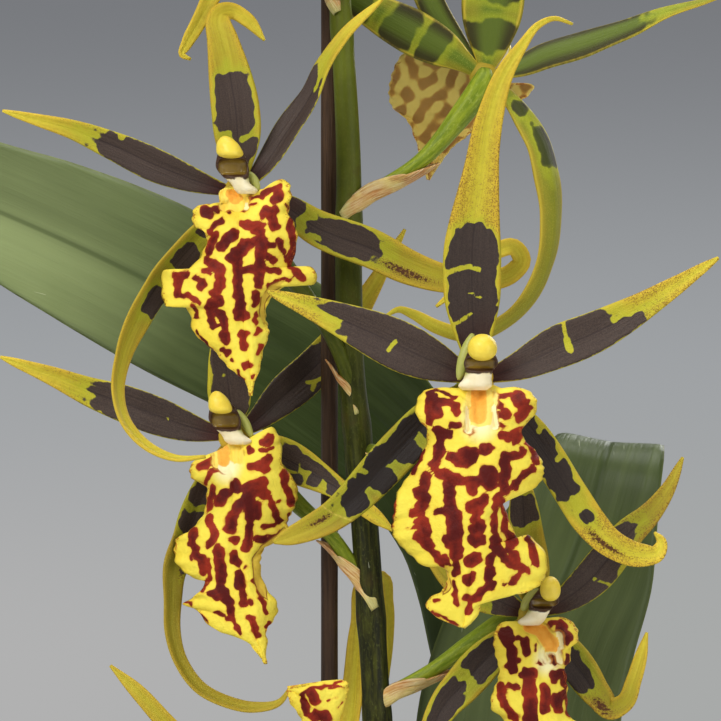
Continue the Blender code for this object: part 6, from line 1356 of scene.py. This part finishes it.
for number, (name, bloom) in enumerate(BLOOMS.items()):
    centre = np.array(bloom["centre"], float)
    plane = centre[1] + bloom["face"][1] * LIP_PLANE
    left, middle, right = (np.array(bloom[key], float) for key in ("lip_left", "lip_middle", "lip_right"))
    at = np.linspace(0, 1, 141)
    keys = np.linspace(0, 1, len(middle))
    spine = curve_through(at, keys, middle)
    edges = []
    for index, coarse in enumerate((left, right)):
        rough = curve_through(at, keys, coarse)
        if name in LIP_EDGES:
            seen = np.array(LIP_EDGES[name][index], float)
            run = run_of(seen)
            fine_run = np.linspace(0, run[-1], 400)
            fine_seen = curve_through(fine_run, run, seen)
            anchors = [0]
            for point in coarse[1:-1]:
                near = np.linalg.norm(fine_seen - point[[0, 2]], axis=1) + 1e3 * (fine_run < anchors[-1] + .4)
                anchors.append(fine_run[int(np.argmin(near))])
            anchors = np.array(anchors + [run[-1]])
            runs = np.interp(at, keys, np.maximum.accumulate(anchors))
            flat = np.stack([np.interp(runs, fine_run, fine_seen[:, k]) for k in (0, 1)], -1)
            depth = centre[1] + rough[:, 1]
            grow = (EYE_AWAY + depth) / (EYE_AWAY + plane)
            rough = np.stack([(flat[:, 0] + centre[0]) * grow - centre[0], rough[:, 1],
                              EYE_LEVEL + (centre[2] + flat[:, 1] - EYE_LEVEL) * grow - centre[2]], -1)
        edges.append(rough)
    u = np.linspace(-1, 1, 69)
    u = np.sign(u) * np.abs(u) ** 1.2
    reach = np.abs(u)[None, :, None]
    edge = np.where(u[None, :, None] < 0, edges[0][:, None], edges[1][:, None])
    grid = edge * reach + spine[:, None] * (1 - reach)
    rim = (1 - np.abs(u)) * np.linalg.norm(edge - spine[:, None], axis=-1)
    away = bloom["face"][1]
    length = run_of(spine)[:, None]
    turn = 2 * math.pi * length
    beside = np.where(u < 0, 1.3, 0) + number
    grow_in = np.clip(length / 8, 0, 1)
    waves = .8 * np.abs(u) ** 4 * np.sin(turn / 7.3 + 2 * beside)
    waves = waves + .5 * np.abs(u) ** 6 * np.sin(turn / 2.9 + beside)
    grid[..., 1] = spine[:, 1:2] + (edge[..., 1] - spine[:, 1:2]) * np.abs(u) ** 1.8 - away * waves * grow_in
    grid[..., 0] += .16 * np.sign(u) * np.abs(u) ** 8 * np.sin(turn / 2.3 + beside) * grow_in
    x, z = grid[..., 0], grid[..., 2]
    if name in LIP_EDGES:
        grid[..., 1] -= 1.5 * np.exp(-((np.abs(x) - 8.5) ** 2 + (z + 6) ** 2) / 16)
    grid[..., 1] += away * .3 * np.sin(x / 1.3 + number) * np.sin(z / 2.4) * (1 - u**2)
    grid[..., 1] -= away * .7 * np.exp(-(np.abs(u) / .12) ** 2) * grow_in
    grid = grid + centre
    shrink = (EYE_AWAY + plane) / (EYE_AWAY + grid[..., 1])
    seen = np.stack([grid[..., 0] * shrink - centre[0],
                     EYE_LEVEL + (grid[..., 2] - EYE_LEVEL) * shrink - centre[2]], -1)
    short, long = (1.8, 3.2) if name == "bloom_7" else (3.4, 5.2)
    maze = .95 * rumple(seen, np.linspace(short, long, 24), 40 + number) - (.35 if name == "bloom_7" else .1)
    mark = np.minimum(maze, rim - .5)
    if name in STROKES:
        warp = np.stack([rumple(seen, (1.7, 2.3, 3.1, 4.2), 60 + number),
                         rumple(seen, (1.9, 2.6, 3.5), 80 + number)], -1)
        strokes = stroke_depth(seen + .13 * warp, STROKES[name])
        strokes = strokes + .07 * rumple(seen, (1.4, 1.9, 2.6), 20 + number)
        seen_part = {"bloom_6": seen[..., 1] > -23.5, "bloom_7": seen[..., 1] > 19.8}.get(name, True)
        mark = np.where(seen_part, strokes, mark)
    x, z, wide, high = CREAM.get(name, (0, -6, .1, .1))
    cream = 1 - np.hypot((seen[..., 0] - x) / wide, (seen[..., 1] - z) / high)
    freckle = np.clip(1.3 - rim, 0, 1) * np.clip(.5 + rumple(seen, (14, 19), 90 + number), 0, 1)
    blank = np.zeros(grid.shape[:2])
    ridge, tone, rise, buff = blank - 3, blank, blank, blank
    for orange_share, radius, high, *ends in CALLUS[name]:
        deep = stroke_depth(seen, [(radius, *ends)])
        buff = np.where(deep > ridge, orange_share, buff)
        ridge = np.maximum(ridge, deep)
        tone = np.maximum(tone, orange_share * np.clip(.5 + deep / .7, 0, 1))
        rise = np.maximum(rise, high * np.clip(1 - (1 - np.clip(deep / radius, 0, 1)) ** 2.6, 0, 1))
    grid[..., 1] -= away * rise
    curl = blank - 3
    for radius, *path in CURLS.get(name, []):
        gap = np.minimum(np.linalg.norm(seen - path[:2], axis=-1), np.linalg.norm(seen - path[-2:], axis=-1))
        fold = stroke_depth(seen, [(radius, *path)]) - 1.3 * radius * np.exp(-(gap / (2.2 * radius)) ** 2)
        curl = np.maximum(curl, fold)
    grid[..., 1] -= away * .5 * np.clip(curl + .3, 0, .8)
    fields = dict(mark=mark, curl=curl, buff=buff, rim=rim, cream=cream, freckle=freckle, ridge=ridge,
                  tone=tone)
    fields = {key: [both_sides(value)] for key, value in fields.items()}
    above, below = FAINT_AND_BACKLIT_SHARES.get(name, (0, .3))
    fields["plain"] = [both_sides(blank + above) + under_side(grid) * below]
    fields["ridge"][0] = fields["ridge"][0] - 4 * under_side(grid)
    fields["tone"][0] = fields["tone"][0] * (1 - under_side(grid))
    piece = skin(f"{name}_labellum", [leafy(grid, LIP_THICKNESS, 1)], lip_yellow, fields)
    settle(piece, "lip", f"{name}_lip")

# Columns: the short waxy body over the lip's throat, with a round yellow cap over the pollen at its end.
# Below the cap lies the hollow of the stigma, glossy brown in a ragged dark collar, and two pale wings.
# Each has the cap's place (right, up), half-sizes and lean, then the hollow and the wings as left, right, low
# and top, and the two ends of the green flank that shows beside them. The flank's green is painted darker, as
# shade on the column's side.
PLAIN_COLUMN = ((0, 8.2, 2.5, 2.5, 0), (-2.8, 2.8, 2.6, 5.6), (-3.4, 3.4, -1, 2.4), (-1, 8, -2.6, 1))
COLUMNS = {
    "bloom_1": ((1, 8.6, 2.4, 2.5, 0), (-2.2, 3.8, 3, 6), (-3, 3.8, -.8, 2.8), (2.4, 8.4, 3.6, 1)),
    "bloom_3": ((-1.9, 9.85, 2.7, 2.5, .7), (-4.4, 2.3, 3.4, 7.4), (-.6, 4.7, .2, 3.8),
        (2.5, 4.6, 4.6, .2)),
    "bloom_4": ((.5, 7.15, 3.2, 2.95, 0), (-3.2, 3.7, 2.1, 5), (-4.8, 2.7, -1.6, 2.3),
        (-1.4, 10.2, -4.5, 0)),
    "bloom_5": ((-2.85, 7.75, 2.45, 2.6, .6), (-4.9, 1.7, 1.7, 5.6), (-1.7, 4.6, -1.2, 2.2),
        (1, 6, 4.4, -.3)),
    "bloom_6": ((3.7, 6.4, 2.3, 2.8, 0), (-.6, 5.4, 1.9, 4.3), (-3.7, 2.4, -1.4, 2), (1.4, 6, -2.4, 1.2)),
}
cream, shade, shader = finish_of("waxy column", Specular_IOR_Level=.4)
cap, stigma, shaded_flank = carried(shade, "cap", "stigma", "shaded_flank")
spot = object_place(shade)
soft = grain(shade, spot, 420, 3)
fine = grain(shade, spot, 1600, 3, .6)
white = tint(soft, screen(226, 208, 150), screen(252, 242, 212))
# painted shade: the column's flank is painted a darker yellow-green, as its side in shade
white = tint(ease(shaded_flank + soft * .4, .55, 1.2) * .9, white, screen(164, 168, 66))
bright = tint(soft * .7 + fine * .3, screen(226, 188, 40), screen(250, 228, 86))
waxy = tint(cap, white, bright)
collar = tint(fine, screen(34, 20, 10), screen(86, 52, 26))
waxy = tint(ease(stigma + (soft - .5) * 1.6, -.75, -.45), waxy, collar)
olive = tint(soft, screen(92, 62, 18), screen(150, 124, 48))
feed(shader, "Base Color", tint(ease(stigma + (soft - .5) * .8, 1.6, 2.1), waxy, olive))
feed(shader, "Roughness", .42 - ease(stigma, 1.6, 2) * .2)
relief(shader, soft + fine * .3, .0003)
for name, bloom in BLOOMS.items():
    centre = np.array(bloom["centre"], float)
    head, hole, wings, side = COLUMNS.get(name, PLAIN_COLUMN)
    cap_x, cap_z, cap_wide, cap_high, lean = head
    s_left, s_right, s_low, s_top = hole
    w_left, w_right, w_low, w_top = wings
    wing, neck = (w_right - w_left) / 2, (s_right - s_left) / 2 + .3
    wing_x, neck_x = (w_left + w_right) / 2, (s_left + s_right) / 2
    keys = [w_low - .6, w_low, (w_low + w_top) / 2, s_low, (s_low + s_top) / 2, s_top + .1, cap_z + 1]
    shape = [(wing * .7, wing_x, -4.8, 1.2), (wing * .92, wing_x, -5.2, 1.6),
             (wing * .82, wing_x * .55 + neck_x * .45, -5.5, 1.9),
             (neck * .8, wing_x * .25 + neck_x * .75, -5.6, 1.9), (neck, neck_x, -5.6, 2.1),
             (neck * .9, neck_x * .7 + cap_x * .3, -6, 1.8), (cap_wide * .6, cap_x, -6, 1.4)]
    level = np.linspace(w_low - .6, cap_z + 1, 56)
    half, mid, front, depth = curve_through(level, keys, shape).T[..., None]
    turn = np.linspace(0, 2 * math.pi, 48, endpoint=False)
    x, y, z = mid + half * np.cos(turn), front - depth * np.sin(turn), level[:, None] + 0 * turn
    along, beside = (z - (s_low + s_top) / 2) / ((s_top - s_low) / 2), (x - neck_x) / (neck - .3)
    hollow = (1 - (np.abs(along) ** 4 + beside**4) ** .25) * (s_top - s_low) / 2
    hollow = np.where(np.sin(turn) > 0, hollow, -3.0)
    y = y + 1.9 * np.clip(hollow / .9, 0, 1) ** .7 - .45 * np.exp(-((hollow + .2) / .3) ** 2)
    rise = np.sin(np.linspace(-1.5, 1.5, 26))[:, None]
    width = np.sqrt(1 - np.abs(rise) ** np.where(rise < 0, 4 if lean else 2.3, 2))
    width = width * (1 - (.05 + lean * .3) * rise)
    ball = np.stack([cap_x - lean * rise + cap_wide * width * np.cos(turn),
                     -8.2 - cap_wide * width * np.sin(turn), cap_z + cap_high * rise + 0 * turn], -1)
    ends = np.array([(side[0], -3.4, side[1]), (side[2], -3.4, side[3])])
    bar = smooth_line([ends[0], ends.mean(0) + (.3 * np.sign(side[0] - cap_x), 0, 0), ends[1]], 24)
    bar = tube(bar, (1 if lean else 1.35) * np.sqrt(1 - np.linspace(-.97, .97, 24) ** 2), (0, 1, 0), 48)
    shells = [np.stack([x, y, z], -1), ball, bar]
    if name not in COLUMNS:
        tip = np.subtract(bloom["column"][-1], bloom["column"][0])
        tilt = math.atan2(tip[0], tip[2])
        away = bloom["face"][1]
        shells = [np.stack([rings[..., 0] * math.cos(tilt) + rings[..., 2] * math.sin(tilt),
                            -away * rings[..., 1],
                            rings[..., 2] * math.cos(tilt) - rings[..., 0] * math.sin(tilt)], -1)
                  for rings in shells]
    shaded_flank = np.clip(np.sign(side[2] - wing_x) * np.cos(turn), 0, 1)
    shaded_flank = shaded_flank * np.clip(1.2 - np.abs(level[:, None] - w_top) / 3, 0, 1)
    blank, round_one = 0 * bar[..., 0], 0 * ball[..., 0]
    fields = {"cap": [0 * z, round_one + 1, blank], "shaded_flank": [shaded_flank, round_one, blank + 1.2],
              "stigma": [hollow + 1.6 * np.clip((z - s_low) * 2, 0, 1), round_one - 3, blank - 3]}
    piece = skin(f"{name}_pollen_column", [rings + centre for rings in shells], cream, fields)
    settle(piece, "column", f"{name}_column")

# Buds: three closed blooms at the spike's tip, waxy green with a yellow flush, their sepals meeting in seams.
BUD_LENGTHS = {"bud_1": 33.0, "bud_2": 27.0, "bud_3": 20.0}
BUD_PROFILE = [(.0, .35), (.1, .72), (.25, .95), (.42, 1), (.6, .88), (.78, .6), (.92, .28), (1, .08)]

bud_green, shade, shader = finish_of("waxy bud", Coat_Weight=.12, Coat_Roughness=.35)
run, seam = carried(shade, "run", "seam")
spot = object_place(shade)
soft = grain(shade, spot, 160, 4, .6)
green = tint(ease(run + soft * .5, .3, 1.2), screen(118, 132, 40), screen(186, 176, 66))
green = tint(ease(grain(shade, spot, 420, 3), .56, .68) * .7, green, screen(108, 76, 40))
feed(shader, "Base Color", tint(ease(seam, .82, 1) * .6, green, screen(86, 92, 30)))
feed(shader, "Roughness", .42 + soft * .15)
relief(shader, soft, .0003)
for name, length in BUD_LENGTHS.items():
    foot, before = (np.array(PEDICELS[name][index], float) for index in (-1, -2))
    share = np.linspace(0, 1, 60)
    line = foot + unit(foot - before) * (.3 + share[:, None] * (length - .3))
    keys, widths = np.array(BUD_PROFILE).T
    radii = length * .125 * curve_through(share, keys, widths)
    rings = tube(line, radii, (0, 1, 0), 60)
    turn = np.linspace(0, 2 * math.pi, 60, endpoint=False)
    seams = np.abs(np.cos(1.5 * turn)) ** 12 + 0 * share[:, None]
    rings += (line[:, None] - rings) * (.09 * seams * np.sin(share * math.pi)[:, None])[..., None]
    fields = {"run": [share[:, None] + 0 * turn], "seam": [seams]}
    settle(skin(f"{name}_closed", [rings], bud_green, fields), "bud", name)
